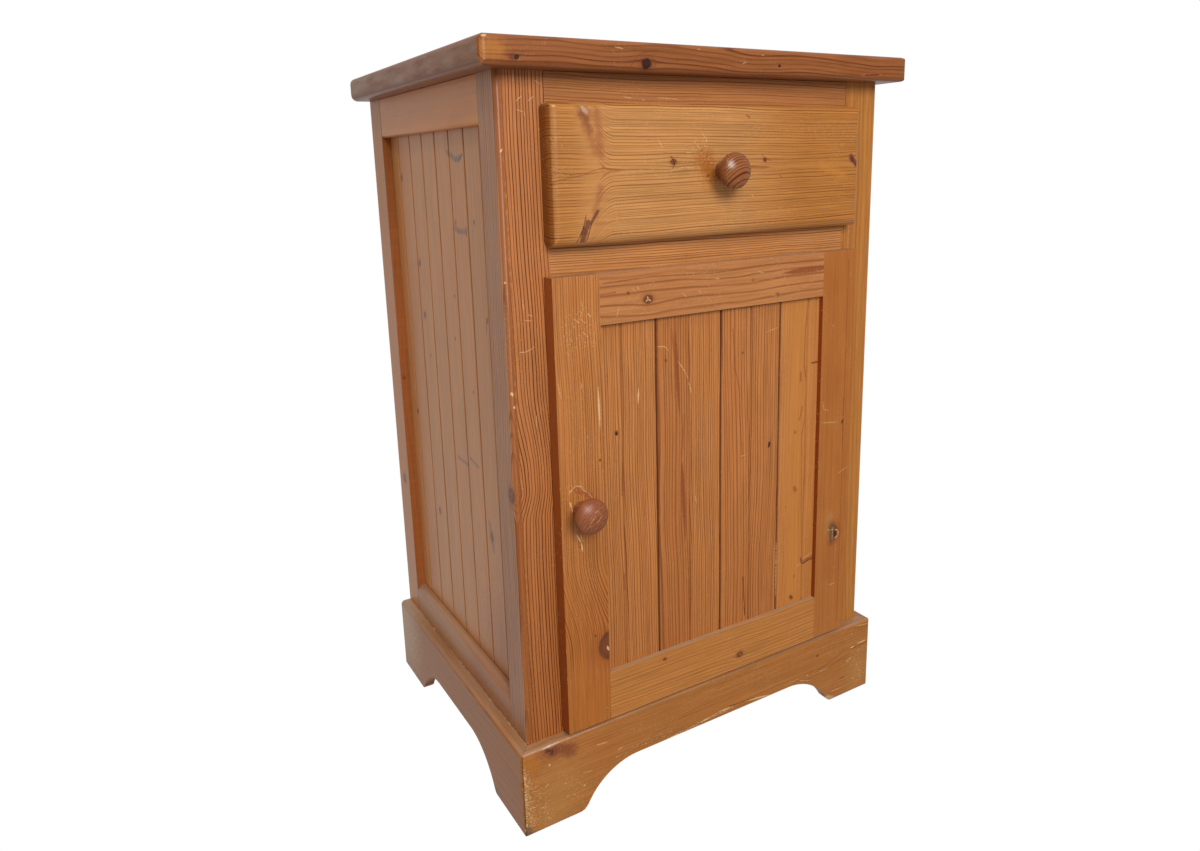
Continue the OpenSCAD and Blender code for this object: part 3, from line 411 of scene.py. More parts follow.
# %% Kinds of stroke
# The colour of each kind, how strongly it covers, and how much of its width is solid
MARKS = {
    "pale": (BARE_WOOD, 0.62, 0.1),
    "chip": (BARE_WOOD, 0.80, 0.4),
    "dark": (KNOT_RIM, 0.70, 0.2),
    "line": (UMBER, 0.60, 0.1),
    "rust": (RUSSET, 0.75, 0.2),
    "grey": (GREY_KNOT, 0.55, 0.1),
    "stain": (linear(128, 66, 40), 0.60, 0.0),
    "honey": (linear(196, 124, 48), 0.5, 0.0),
    "amber": (linear(148, 82, 33), 0.85, 0.4),
    "pool": (linear(158, 86, 26), 0.80, 0.0),
    "spike": (linear(112, 60, 44), 0.85, 0.4),
    # Painted sheen, a pale grey
    "haze": (linear(200, 172, 140), 0.60, 0.1),
    "lens": (linear(138, 70, 34), 0.85, 0.5),
    "blush": (linear(146, 78, 46), 0.45, 0.0),
    "worn": (linear(178, 124, 66), 0.55, 0.0),
    "deep": (linear(176, 107, 38), 0.90, 0.0),
    "fray": (linear(210, 176, 128), 0.85, 0.0),
    "specks": (linear(222, 184, 128), 0.65, 0.0),
    "grime": (linear(84, 70, 56), 0.75, 0.1),
    "knot": (linear(52, 28, 22), 0.92, 0.6),
    "burr": (linear(108, 76, 44), 0.85, 0.3),
}


def strokes(text):
    """Strokes from a list. Each has its kind, its width, and its points: along, across, and so on."""
    found = []
    for line in text.split(","):
        kind, width, *places = line.split()
        places = [float(place) for place in places]
        points = list(zip(places[::2], places[1::2]))
        found += [(kind, start, end, float(width)) for start, end in zip(points, points[1:])]
    return found


# %% A stencil for each kind
STROKE_NUMBERS = (
    "along", "across", "start", "side", "step along", "step across", "length", "width", "seed",
)
SPARSE = {"fray": 0.47, "specks": 0.57}


def slant(one, other):
    """How long a slanting line is that goes so far one way and so far the other."""
    return (one * one + other * other).root()


def edge_of(sums, kind, off, along, across, done, length, width, seed):
    """The distance from a stroke's line, unsettled so that its edge is torn, tapered or cloudy."""
    from_middle = done * 2.0 / length - 1.0
    thinner = from_middle * from_middle
    if kind == "pale":
        torn = sums.wander(done / 2.0, seed + length).rise(-0.2, 0.7)
        return off + torn * width * 0.7 + thinner * width * 0.3
    if kind in ("chip", "lens"):
        return off + sums.wander(done / 3.0, seed) * width * 0.2 + thinner * width * 0.7
    return off + sums.noise(along / 5.0, across / 5.0, seed, 2.0) * width - width * 0.5


def stencil(kind):
    """A group of nodes that draws one kind of stroke."""
    colour, strength, solid = MARKS[kind]
    tree = bpy.data.node_groups.new(kind + " stroke", "ShaderNodeTree")
    for name in STROKE_NUMBERS:
        tree.interface.new_socket(name, in_out="INPUT", socket_type="NodeSocketFloat")
    tree.interface.new_socket("shows", in_out="OUTPUT", socket_type="NodeSocketFloat")
    sums = Sums(tree)
    given = tree.nodes.new("NodeGroupInput")
    numbers = [Number(sums, socket) for socket in given.outputs[: len(STROKE_NUMBERS)]]
    along, across, start, side, step_along, step_across, length, width, seed = numbers
    far_along = along - start
    far_across = across - side
    done = (far_along * step_along + far_across * step_across).most(0.0).least(length)
    off = slant(far_along - done * step_along, far_across - done * step_across)
    off = edge_of(sums, kind, off, along, across, done, length, width, seed)
    shows = off.fall(width * solid, width)
    if kind in SPARSE:
        # Speckles, thickest along the middle of the stroke
        speck = sums.noise(along / 2.6, across / 1.1, seed, 3.0)
        shows = (speck - off / width * 0.22).rise(SPARSE[kind], SPARSE[kind] + 0.08)
    taken = tree.nodes.new("NodeGroupOutput")
    sums.put(taken.inputs[0], shows * strength)
    return tree


STENCILS = {kind: stencil(kind) for kind in MARKS}
print("kinds of stroke:", len(STENCILS))

# %% Lay strokes on a board


def stroke(finish, along, across, mark, seed):
    """How strongly a stroke from start to end shows, each end given as (along, across)."""
    kind, start, end, width = mark
    run = Vector((end[0] - start[0], end[1] - start[1]))
    step = run.normalized()
    values = (along, across, *start, step.x, step.y, run.length, width, seed)
    return Number(finish, finish.node("Group", *values, node_tree=STENCILS[kind]).outputs[0])


def with_strokes(finish, colour, along, across, marks, on_face, seed):
    """The colour with these strokes on it, where on_face is 1."""
    for mark in marks:
        shows = stroke(finish, along, across, mark, seed) * on_face
        colour = finish.blend(shows, colour, MARKS[mark[0]][0])
    return colour


# %% [markdown]
# ## Knots, ticks and arrises
# Lines part round a knot like a stream round a stone. A knot could be laid over the lines as a
# dark spot, but then the grain runs straight through it and the eye sees paint. So the lines
# are bent first. Hands and shoes leave patches of tiny ticks, and they rub an arris pale, so
# the finish needs to know how far a point is from the nearest arris.

# %% Bend the lines round knots
# A knot is a little longer than wide, and the lines round it part over a longer way still
KNOT_LENGTHWISE = 0.8
BEND_LENGTHWISE = 0.55


def part_round(knots, along, side, other):
    """Bend the lines round each knot, and tell how near the nearest knot is, in radii."""
    bent = side
    nearest = None
    for knot in knots:
        radius = knot[2]
        from_along = (along - knot[0]) * (KNOT_LENGTHWISE / radius)
        from_side = (side - knot[1]) * (1.0 / radius)
        square = from_along * from_along + from_side * from_side
        if len(knot) > 3:
            deep = (other - knot[3]) * (1.0 / knot[4])
            square = square + deep * deep
        flow_along = from_along * BEND_LENGTHWISE
        flow_side = (bent - knot[1]) * (1.0 / radius)
        flow = flow_along * flow_along + flow_side * flow_side
        bent = (bent - knot[1]) * (flow / (flow + 1.0)) + knot[1]
        reach = square.root()
        nearest = reach if nearest is None else nearest.least(reach)
    return bent, nearest


def with_knots(finish, colour, base, nearest, along, across, through):
    """The colour with knots in it: a shadow round each, a ringed heart and a dark rim."""
    ragged = nearest + (finish.noise(along / 1.4, across / 1.4, through / 1.4, 1.0) - 0.5) * 0.35
    hearts = (ragged * 8.0).wave() * 0.5 + 0.5
    heart = finish.blend(hearts * 0.5, KNOT_HEART, UMBER)
    colour = finish.blend(nearest.fall(0.9, 2.2) * 0.5, colour, shade(base, KNOT_SHADOW))
    colour = finish.blend(ragged.fall(0.75, 1.05) * 0.85, colour, heart)
    rim = ragged.rise(0.6, 0.95) * ragged.fall(0.95, 1.15)
    return finish.blend(rim * 0.5, colour, KNOT_RIM)


# %% Ticks and rubbed arrises
TICK_TURNS = (0.1, 0.7, 1.5, 2.5)
TICK_LENGTH = 3.6
TICK_WIDTH = 0.75


def turn_grain(along, across, angle):
    """A place along and across a grain that lies at this angle."""
    flat = math.cos(angle)
    steep = math.sin(angle)
    return along * flat + across * steep, across * flat - along * steep


def ticks(finish, along, across, through, seed, rubbed):
    """Short thin scratches in four directions, in patches and at the rubbed places."""
    found = None
    for turn in TICK_TURNS:
        with_tick, over_tick = turn_grain(along, across, turn)
        places = (with_tick / TICK_LENGTH + seed, over_tick / TICK_WIDTH, through / 6.0 + turn * 9)
        tick = finish.noise(*places, 0.0)
        one = tick.rise(0.745, 0.80)
        found = one if found is None else found.most(one)
    patch = finish.noise(along / 45.0, across / 30.0 + seed, through / 60.0, 1.0).rise(0.46, 0.62) * 0.6
    for middle_along, middle_across, radius in rubbed:
        reach = slant(along - middle_along, across - middle_across)
        patch = patch.most(reach.fall(radius * 0.4, radius) * 1.5)
    return found * patch


def edge_distance(finish, box):
    """How far a point on a board is from its nearest arris, in millimetres."""
    low, high = box
    gaps = []
    for n, axis in enumerate("xyz"):
        place = finish.place[axis]
        gaps.append((place - low[n] * 1000).least(high[n] * 1000 - place).size())
    x, y, z = gaps
    return x + y + z - x.least(y).least(z) - x.most(y).most(z)


def rubbed_bare(finish, box, wear, seed):
    """Where wear has taken the lacquer off the arrises."""
    x, y, z = (finish.place[axis] / 6.0 for axis in "xyz")
    rub = finish.noise(x, y, z + seed, 3.0)
    return (rub * 7.0 - edge_distance(finish, box)).rise(3.2 / wear, 4.2 / wear)


# %% [markdown]
# ## Rings
# The saw meets a ring as a dark, hard line of late wood beside soft, pale early wood. A wave
# texture draws even lines, and no two rings are even. So the distance from the pith is bent a
# little along the board, and each ring gets its own width and its own strength.

# %% Rings and their late wood


def count_rings(finish, run, across, through, bent, deep, pith, ring, bend, taper, wave, uneven, seed):
    """Which ring a point lies in, counted from the pith."""
    far_across = bent - pith[0] + finish.wander(run / 240.0, seed) * bend
    far_through = deep - pith[1] + finish.wander(run / 290.0, seed + 37.0) * bend
    ripple = finish.noise(run / 60.0 + seed, across / 18.0, through / 18.0, 1.0) - 0.5
    radius = slant(far_across, far_through) + run * taper + ripple * (2 * wave)
    return radius / ring + finish.wander(radius / (4 * ring), seed + 11.0) * uneven


def late_wood(finish, count, sharp, seed):
    """How much of a point is late wood: it grows slowly from sharp on, and ends fast."""
    number = count.whole()
    part = count - number
    strength = finish.lot(number + seed) * 0.6 + 0.4
    return part.rise(sharp, 0.84) * part.fall(0.88, 1.0) * strength


def groove_dirt(finish, across, grooves, joints):
    """How much old dirt lies in the grooves, given as an axis, the board's face and the way in."""
    axis, surface, inwards = grooves
    sunk = (finish.place[axis] - surface) * inwards
    dirt = sunk.rise(0.25, 1.2) * sunk.fall(4.0, 4.5)
    if joints is not None:
        from_joint = None
        for joint in joints:
            one = (across - joint).size()
            from_joint = one if from_joint is None else from_joint.least(one)
        dirt = dirt * (from_joint.fall(2.2, 3.0) * 0.75 + 0.25)
    return dirt


# %% [markdown]
# ## The pine recipe
# Everything about a board comes together here, mostly in the order in which it happened: the
# tree grew its rings, the saw cut its ends, the finisher stained and lacquered it, and last
# came dirt, scratches and wear. Painted light goes in among them: shade on side faces and at
# one end of some boards, sheen with the fading on faces turned left, and a highlight with the
# dust on faces turned up. One long recipe is less tidy than many short ones, but each board's
# look can then be read in one place.

# %% Cut a board's finish
# How far along its tree one board of a row starts beyond the next
BOARD_SHIFT = 740.0


def pine(
    name, grain, pith, ring=3.0, body=(176, 108, 54), lines=0.8, red=0.25, bend=5.0, taper=0.01,
    wave=1.2, uneven=0.8, sharp=0.45, depth=1.3, knots=(), edge_knots=(), marks=(), face=None,
    edge_marks=(), edge=0.0, scuffs=0.0, rubbed=(), seed=0.0, box=None, wear=0.0, dust=0.0,
    gloss=0.34, polish=0.5, ends=0.6, flank=0.0, faded=0.0, fade=(2.2, 2.2), mottle=1.0, deeper=(),
    grooves=None, joints=None, warp=None, turn=None, boards=None,
):
    """
    Lacquered pine. grain names the axes along, across and through the board, and pith is a place
    across and through it. ring is the width of one ring. lines, sharp and depth say how strong,
    how narrow and how dark its late wood is. bend, taper, wave and uneven say how far the rings
    stray. warp is a function that bends the lines, and turn an angle and the place it turns about.
    """
    finish = Finish(name)
    along, across, through = (finish.place[axis] for axis in grain)
    if turn is not None:
        angle, middle_along, middle_across = turn
        along, across = turn_grain(along - middle_along, across - middle_across, angle)
    level = 1.0
    flush = 0.0
    run = along
    if boards is not None:
        edges = boards["edges"]
        pith = (finish.steps(across, edges, boards["pith"]), pith[1])
        ring = finish.steps(across, edges, boards["ring"])
        lines = finish.steps(across, edges, boards["lines"])
        level = finish.steps(across, edges, boards["level"])
        flush = finish.steps(across, edges, boards["flush"])
        run = along + finish.steps(across, edges, [BOARD_SHIFT * n for n in range(len(edges) + 1)])

    # Knots part the grain, on the face and on the edge
    bent, nearest = part_round(knots, along, across, through)
    deep, nearest_on_edge = part_round(edge_knots, along, through, across)
    if nearest_on_edge is not None:
        nearest = nearest_on_edge if nearest is None else nearest.least(nearest_on_edge)
    if warp is not None:
        bent, clear = warp(finish, along, bent)
        lines = lines * clear
    count = count_rings(
        finish, run, across, through, bent, deep, pith, ring, bend, taper, wave, uneven, seed
    )
    late = late_wood(finish, count, sharp, seed)
    dark = (late * lines).least(1.0)

    # Fibres, streaks, blotches of stain, resin ducts
    end = finish.facing[grain[0]].size().rise(0.60, 0.80)
    fibre = finish.noise(run / 26.0, across / 0.9 + seed, through / 0.9, 2.0) - 0.5
    fibre = fibre * (1.0 - end * 0.75)
    streak = finish.noise(run / 120.0 + seed, across / 3.0, through / 3.0, 2.0) - 0.5
    blotch = finish.noise(run / 80.0, across / 34.0 + seed, through / 34.0, 2.0) - 0.5
    duct = finish.noise(along / 4.0, across / 0.6, through / 0.6 + seed, 0.0).rise(0.72, 0.80)

    base = linear(*body)
    colour = finish.blend(dark, shade(base, EARLY_WOOD, depth), shade(base, LATE_WOOD, depth))
    reddened = ((blotch + 0.5).rise(0.42, 0.72) * red + flush).least(1.0)
    colour = finish.blend(reddened, colour, shade(base, FLUSHED))
    brightness = (fibre * 0.46 + streak * 0.60 + blotch * 0.36 - duct * 0.16) * mottle + 1.0
    colour = finish.lighten(colour, brightness * level)
    roughness = gloss + fibre * 0.10 - late * 0.05
    height = late * 0.04 + fibre * 0.05 - duct * 0.03

    # Cut ends drink more lacquer
    cut = finish.blend(dark, shade(base, CUT_END), shade(base, CUT_END_LINE))
    colour = finish.blend(end * ends, colour, cut)
    # Painted shade on faces turned across the grain, such as the side of a stile
    if flank:
        turned = finish.facing[grain[1]].size().rise(0.35, 0.9)
        colour = finish.blend(turned * flank, colour, shade(base, FLANK))
    # Painted shade: a tint darkens a board towards one end
    for full, none, most in deeper:
        colour = finish.tint(along.fall(full, none) * most, colour, DEEP_LACQUER)
    # Fading and painted sheen: grey streaks on faces turned to the left
    if faded:
        turned = (0.0 - finish.facing["x"]).rise(0.80, 0.99)
        streaky = finish.noise(along / 90.0, across / fade[0] + seed, through / fade[1], 3.0)
        streaky = streaky.rise(0.30, 0.72)
        colour = finish.blend(turned * streaky * faded, colour, FADED)

    if nearest is not None:
        colour = with_knots(finish, colour, base, nearest, along, across, through)
    if grooves is not None:
        colour = finish.blend(groove_dirt(finish, across, grooves, joints) * 0.92, colour, GROOVE_DIRT)
    on_face = 1.0 if face is None else (through - face).size().fall(1.5, 2.5)
    colour = with_strokes(finish, colour, along, across, marks, on_face, seed)
    if edge_marks:
        on_edge = (across - edge).size().fall(1.5, 2.5)
        colour = with_strokes(finish, colour, along, through, edge_marks, on_edge, seed)
    if scuffs:
        shows = ticks(finish, along, across, through, seed, rubbed) * scuffs
        colour = finish.blend(shows, colour, BARE_WOOD)
        roughness = roughness + shows * 0.2
    # Dust and a painted highlight: faces turned up are paler and duller
    if dust:
        lies = finish.facing["z"].rise(0.4, 0.9) * (blotch * 1.5 + 0.75) * dust
        colour = finish.blend(lies, colour, DUST)
        roughness = roughness + lies * 0.3
    if wear:
        bare = rubbed_bare(finish, box, wear, seed)
        colour = finish.blend(bare * 0.7, colour, BARE_WOOD)
        roughness = roughness + bare * 0.15

    # End grain soaks up its lacquer and stays dull
    finish.put(finish.shader.inputs["Specular IOR Level"], (1.0 - end * 0.6) * polish)
    return finish.use(colour, roughness, height)


# %% [markdown]
# ## Easing the arrises
# No joiner leaves a sharp arris: a pass of sandpaper rounds it, and the light catches it. Where
# the joinery model has sharp edges, a piece gets a weld, which joins its triangles, and a small
# bevel on its real edges. Modifiers do this without touching the cut pieces.

# %% Dress a piece
ARRIS = 0.8
ARRIS_STEPS = 2
ARRIS_ANGLE = math.radians(35)
FLAT_ANGLE = math.radians(0.8)
SAME_POINT = 0.00002


def ease(node, width):
    """Round a piece's arrises by width, in millimetres."""
    piece = frame["nodes"][node]
    weld = piece.modifiers.new("weld", "WELD")
    weld.merge_threshold = SAME_POINT
    flat = piece.modifiers.new("flat", "DECIMATE")
    flat.decimate_type = "DISSOLVE"
    flat.angle_limit = FLAT_ANGLE
    bevel = piece.modifiers.new("arris", "BEVEL")
    bevel.width = width / 1000
    bevel.segments = ARRIS_STEPS
    bevel.limit_method = "ANGLE"
    bevel.angle_limit = ARRIS_ANGLE
    bevel.harden_normals = True


def dress(nodes, material, arris):
    """Give these pieces that finish, and ease them."""
    for node in nodes.split():
        piece = frame["nodes"][node]
        piece.data.materials.clear()
        piece.data.materials.append(material)
        if arris:
            ease(node, arris)
    print(material.name, "on", nodes)


def dress_in_pine(nodes, name, grain, arris=ARRIS, **cut):
    """Give these pieces a pine finish of their own, and ease them."""
    dress(nodes, pine(name, grain, **cut), arris)


# %% [markdown]
# ## The top
# Only the edge of the top shows from below. It is darker and redder than the rest, with long
# lines that arch along it, because the board was cut from beside the heart of the tree. The
# arches could be drawn one by one. A pith some 100 mm under the board gives them all at once.

# %% The top
# Its left end gets grey streaks of fading and painted sheen.
dress_in_pine(
    "top_board", "top pine", "xyz", arris=0, pith=(-40, 640), ring=2.8, body=(134, 75, 34), red=0.5,
    lines=0.9, depth=1.25, bend=5.0, wave=1.2,
    edge_knots=((-217, 732, 1.9, -176, 12), (-88, 731.5, 4.2, -176, 12), (66, 735, 1.2, -176, 10)),
    edge_marks=strokes("""
        honey 13 -246 738 -230 738, knot 2.7 -213.5 732 -212.5 732.5, knot 5.4 -88.5 731 -87.5 731.5,
        knot 1.4 65.5 735 66.5 735, line 0.9 -104 729 -97 738 -90 741 -76 743,
        line 0.8 -78 729 -79 735 -84 739, pale 0.8 -32 746 -29 746, pale 0.8 43 744 46 744,
        rust 3 178 730 206 731, dark 1.1 184 730 203 731, pale 0.9 -120 744 -112 743,
        pale 0.8 20 735 25 737, chip 1.6 -243 747 -238 748
    """),
    edge=-176, faded=0.72, fade=(48.0, 10.0), ends=0.3, scuffs=0.12, seed=1.0, wear=0.8,
    box=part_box("top_board"),
)

# %% [markdown]
# ## The frame of the case
# Each member gets its own rings. The left post has close upright lines that swirl round a knot
# on its outer arris. The right post is yellower and wider in its rings. One finish for all
# would be shorter, but then the same lines would run on from post to stile.

# %% Posts


def swirl_past_knot(finish, along, across):
    """The lines lean out to the knot on the arris, and come back below it."""
    swing = along.rise(322.0, 356.0) * along.fall(372.0, 450.0)
    near = 1.0 - across.rise(-215.0, -178.0) * 0.6
    return across - swing * near * 8.0, 1.0


# Its side gets grey streaks of fading and painted sheen, and its lower front a ramp of painted shade.
dress_in_pine(
    "front_post_left", "left post pine", "zxy", pith=(-420, -330), ring=2.5, body=(160, 93, 44),
    lines=1.9, sharp=0.6, depth=1.75, red=0.1, bend=3.0, wave=0.5, uneven=0.5,
    knots=((350, -226, 6, -147, 6), (351, -222, 1.6, -154, 4)),
    marks=strokes("""
        amber 6 100 -222.5 722 -222.5, pale 0.8 722 -207 714 -207, pale 0.9 700 -205 704 -200,
        pale 0.8 700 -194 704 -189, pale 0.7 693 -205 691 -199, pale 0.7 691 -198 687 -198,
        pale 0.7 717 -187 714 -182, chip 1.1 658 -222 661 -220, chip 1.7 450 -223 446 -221.5,
        chip 1 549 -223.5 547 -223, chip 1.3 437 -221 434 -220.5, pale 0.7 678 -186 666 -177 660 -173,
        pale 0.9 485 -213 484.5 -207 486.5 -201 489 -198, pale 0.7 532 -208 520 -207,
        pale 0.9 518 -203 516 -199, pale 0.7 513 -206 512 -200, pale 0.7 425 -199 412 -200
    """),
    face=-154, faded=0.62, gloss=0.4, polish=0.45, scuffs=0.3, warp=swirl_past_knot,
    deeper=((100.0, 460.0, 0.7),), seed=2.0, wear=0.45, box=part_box("front_post_left"),
)
dress_in_pine(
    "front_post_right", "right post pine", "zxy", pith=(60, -130), ring=6.5, body=(167, 103, 42),
    lines=0.35, depth=1.2, red=0.3, wave=1.5,
    marks=strokes("line 0.8 720 182 130 182, pale 0.7 600 190 420 189"), face=-154, seed=3.0, wear=0.5,
    box=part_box("front_post_right"),
)
# Painted light: the deep stroke makes the top of the stile a deeper orange, where it shows less sheen,
# and the stain stroke paints shade down its reveal.
dress_in_pine(
    "rear_stile_left", "left rear stile pine", "zyx", pith=(60, -120), ring=4.0, body=(180, 103, 39),
    lines=0.35, knots=((267, 182, 5), (400, 164, 1.6, -221, 1.6)),
    marks=strokes("deep 60 740 183 600 183, stain 4 720 164 90 164"), faded=0.45, polish=0.4, seed=4.0,
    wear=0.4, box=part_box("rear_stile_left"),
)
dress_in_pine(
    "rear_stile_right", "right rear stile pine", "zyx", pith=(90, 150), ring=4.4, lines=0.5, seed=44.0,
)

# %% [markdown]
# ## The rails in the sides
# A joiner picks plain, straight wood for rails. Left and right could be dressed one by one,
# but they are mirror images, so one loop does both and only the seeds of their noise differ.
# Dust and a painted highlight lie on the rounded upper edge of the bottom rail.

# %% Side rails
for side, seed in (("left", 5.0), ("right", 55.0)):
    dress_in_pine(
        "side_top_rail_" + side, side + " top rail pine", "yzx", pith=(560, 0), ring=4.0,
        body=(190, 112, 48), lines=0.08, mottle=0.35, faded=0.12, polish=0.45, seed=seed,
    )
    dress_in_pine(
        "side_bottom_rail_" + side, side + " bottom rail pine", "yzx", pith=(40, 0), ring=4.0,
        body=(158, 99, 54), marks=strokes("blush 60 -115 106 -40 106"), lines=0.15, mottle=0.5,
        faded=0.3, dust=0.35, seed=seed + 1.0,
    )

# %% [markdown]
# ## The boards in the sides
# Four boards stand in each side, and their V grooves show as dark lines. The left
# side is seen at a steep angle, so its knots look like small smears. Each board could have a
# finish of its own. One finish that looks up four values of each kind keeps them together.

# %% Side boards
SIDE_JOINTS = (-55.0, 23.0, 101.0)
dress_in_pine(
    "side_boards_left", "left board pine", "zyx", arris=0, pith=(0, -120), body=(185, 117, 58),
    boards=dict(
        edges=SIDE_JOINTS, pith=(-190.0, 140.0, -80.0, 260.0), ring=(3.4, 4.0, 3.4, 4.0),
        lines=(0.3, 0.22, 0.3, 0.22), level=(0.98, 1.02, 0.98, 1.02), flush=(0.05, 0.1, 0.0, 0.15),
    ),
    depth=1.1,
    knots=(
        (638, 134, 2.6), (594, -23, 1.6), (596, -71, 1.6), (545, 94, 3.0), (519, -8, 1.3),
        (505, -89, 1.8), (487, 89, 3.0), (474, -2, 1.5), (442, 79, 1.2), (425, -43, 1.2),
        (363, 140, 2.4), (278, -70, 4.0), (254, 85, 3.2),
    ),
    marks=strokes("""
        grey 4.6 662 -12 658 -24 655 -34 656 -46, dark 1.8 653 -40 659 -50,
        grey 4.6 589 -20 586 -30 586 -46, dark 2.4 590 -50 583 -50, grey 3.4 350 -23 346 -44,
        grey 3 341 12 340 -14, grey 5 292 -66 264 -72, dark 1.4 503 -87 492 -86,
        blush 120 90 -80 150 -95
    """),
    faded=0.2, mottle=0.9, grooves=("x", -215.0, 1), seed=7.0,
)
dress_in_pine(
    "side_boards_right", "right board pine", "zyx", arris=0, pith=(0, -120),
    boards=dict(
        edges=SIDE_JOINTS, pith=(150.0, -160.0, 240.0, -60.0), ring=(4.0, 3.4, 4.0, 3.4),
        lines=(0.4, 0.5, 0.4, 0.5), level=(1.02, 0.98, 1.0, 0.97), flush=(0.1, 0.0, 0.15, 0.0),
    ),
    knots=((600, 40, 5), (420, -90, 4), (330, 130, 6), (200, -10, 3)), grooves=("x", 215.0, -1),
    seed=57.0,
)

# %% [markdown]
# ## Rails between the posts
# These rails frame the drawer and the door. Only a narrow strip of each shows, with close
# straight lines, so each could have one flat colour, but then it would look like plastic. The
# rails that the photo doesn't show share one finish.

# %% Front rails
dress_in_pine(
    "front_top_rail", "top rail pine", "xzy", pith=(560, -180), ring=2.6, body=(161, 99, 49),
    lines=0.95, sharp=0.52, depth=1.2, bend=2.5,
    marks=strokes("pale 0.9 -98 705 -89 704, pale 0.8 -61 705 -38 704, pale 0.8 -79 703 -76 702.5"),
    face=-154, scuffs=0.3, seed=8.0,
)
dress_in_pine(
    "front_mid_rail", "middle rail pine", "xzy", pith=(480, -180), ring=2.4, body=(182, 118, 62),
    lines=1.3, sharp=0.52, depth=1.2, bend=2.5, seed=9.0,
)
dress_in_pine(
    "front_bottom_rail rear_top_rail rear_bottom_rail", "rail pine", "xzy", pith=(500, -180), ring=4.0,
    seed=10.0,
)

# %% [markdown]
# ## The plinth
# The plinth takes the kicks of brooms and shoes, so its corners and the edge of its arch are
# rubbed to bare wood. Wear made by a formula alone looks even. So each larger chip and scratch
# in the photo is a stroke of its own, and formulas add only rubbed arrises and tiny ticks.

# %% Plinth
# Two strokes of painted sheen lie on the plinth front, one along its top edge by the left foot.
dress_in_pine(
    "plinth_front", "plinth front pine", "xzy", pith=(-40, -190), ring=3.0, body=(158, 95, 40),
    lines=0.3, depth=1.1, bend=3.0, knots=((-204, 84, 3.6), (150, 70, 1.2)),
    marks=strokes("""
        worn 46 -205 6 -198 46, worn 34 214 8 220 34, stain 14 -212 86 -186 82,
        stain 10 -200 88 -182 76, dark 3.6 -211 89 -205 85, deep 10 -229 82 -224 76,
        chip 1.6 -210 92 -204 92, haze 1.4 -214 91 -196 92, chip 1.3 -209 71 -207 72,
        fray 11 -235 72 -234 44 -232 12, specks 24 -222 52 -212 14, specks 22 -190 50 -176 30,
        grime 1.8 -238.5 88 -238.5 6, grime 13 -240 10 -232 -2, pale 1.3 -155 72 -142 70.5,
        pale 0.8 -171 47 -160 45, pale 1 -214 49 -210 51, chip 1.1 -171 32 -169 32,
        pale 1 -191 28 -187 28, pale 1 -183 26 -180 27, pale 1.2 -219 27 -215 28,
        rust 1.6 -177 0 -174 7, pale 1 -130 56 -123 58, specks 12 -130 50 -60 50, pale 1 -95 44 -88 42,
        chip 1 -68 44 -52 45, chip 1.2 -24 47 -10 49, chip 1.2 2 51 18 50, fray 4 -66 44 20 50,
        chip 1.4 40 50 77 45, dark 0.9 18 52 52 50, specks 9 100 50 160 46, pale 0.9 121 47 140 41,
        pale 1.2 133 49 136 50, line 0.8 112 47 150 49 196 62, line 0.7 130 44 160 46 205 56,
        pale 0.9 155 47 167 47, chip 1.3 205 62 212 62, chip 1.3 217 64 233 64.5,
        dark 0.8 206 60 232 62, pale 1.1 212 89 234 86, line 0.9 210 86 233 84, chip 1.2 206 80 207 80,
        pale 1.6 198 45 208 49, pale 1.1 209 19 214 18, pale 1.2 175 13 192 13, dark 0.9 189 26 196 26,
        specks 20 212 44 224 20, haze 5 168 8 178 2, grime 3 190 0 200 -2, grime 2.4 238 26 238 0
    """),
    face=-166.5, dust=0.5, scuffs=0.35,
    rubbed=((-232, 50, 22), (-222, 20, 24), (222, 60, 20), (226, 24, 22)), seed=14.0, wear=1.1,
    box=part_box("plinth_front"),
)
# The left plinth gets a broad stroke of painted sheen towards its back end.
for side, seed, foot_knot in (("left", 15.0, (-96, 6, 2.6)), ("right", 65.0, (60, 72, 3.0))):
    node = "plinth_" + side
    dress_in_pine(
        node, node + " pine", "yzx", pith=(-50, 0), ring=3.4, body=(150, 86, 32), lines=0.4, depth=1.1,
        knots=(foot_knot,), faded=0.15, mottle=0.8, dust=0.5,
        marks=strokes("haze 90 200 60 200 90") if side == "left" else (), polish=0.2, seed=seed,
        wear=1.1, box=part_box(node),
    )

# %% [markdown]
# ## The door
# Two stiles and two rails hold four upright boards. The left stile carries a big knot at its
# inner edge and years of scratches round the knob. Straight lines would cut through that knot,
# so a small function sweeps them towards it.

# %% Door stiles


def sweep_to_knot(finish, along, across):
    """The lines sweep towards the big knot low on the stile, and below it the wood is plain."""
    return across - along.fall(188.0, 280.0) * 17.0, along.rise(150.0, 190.0) * 0.8 + 0.2


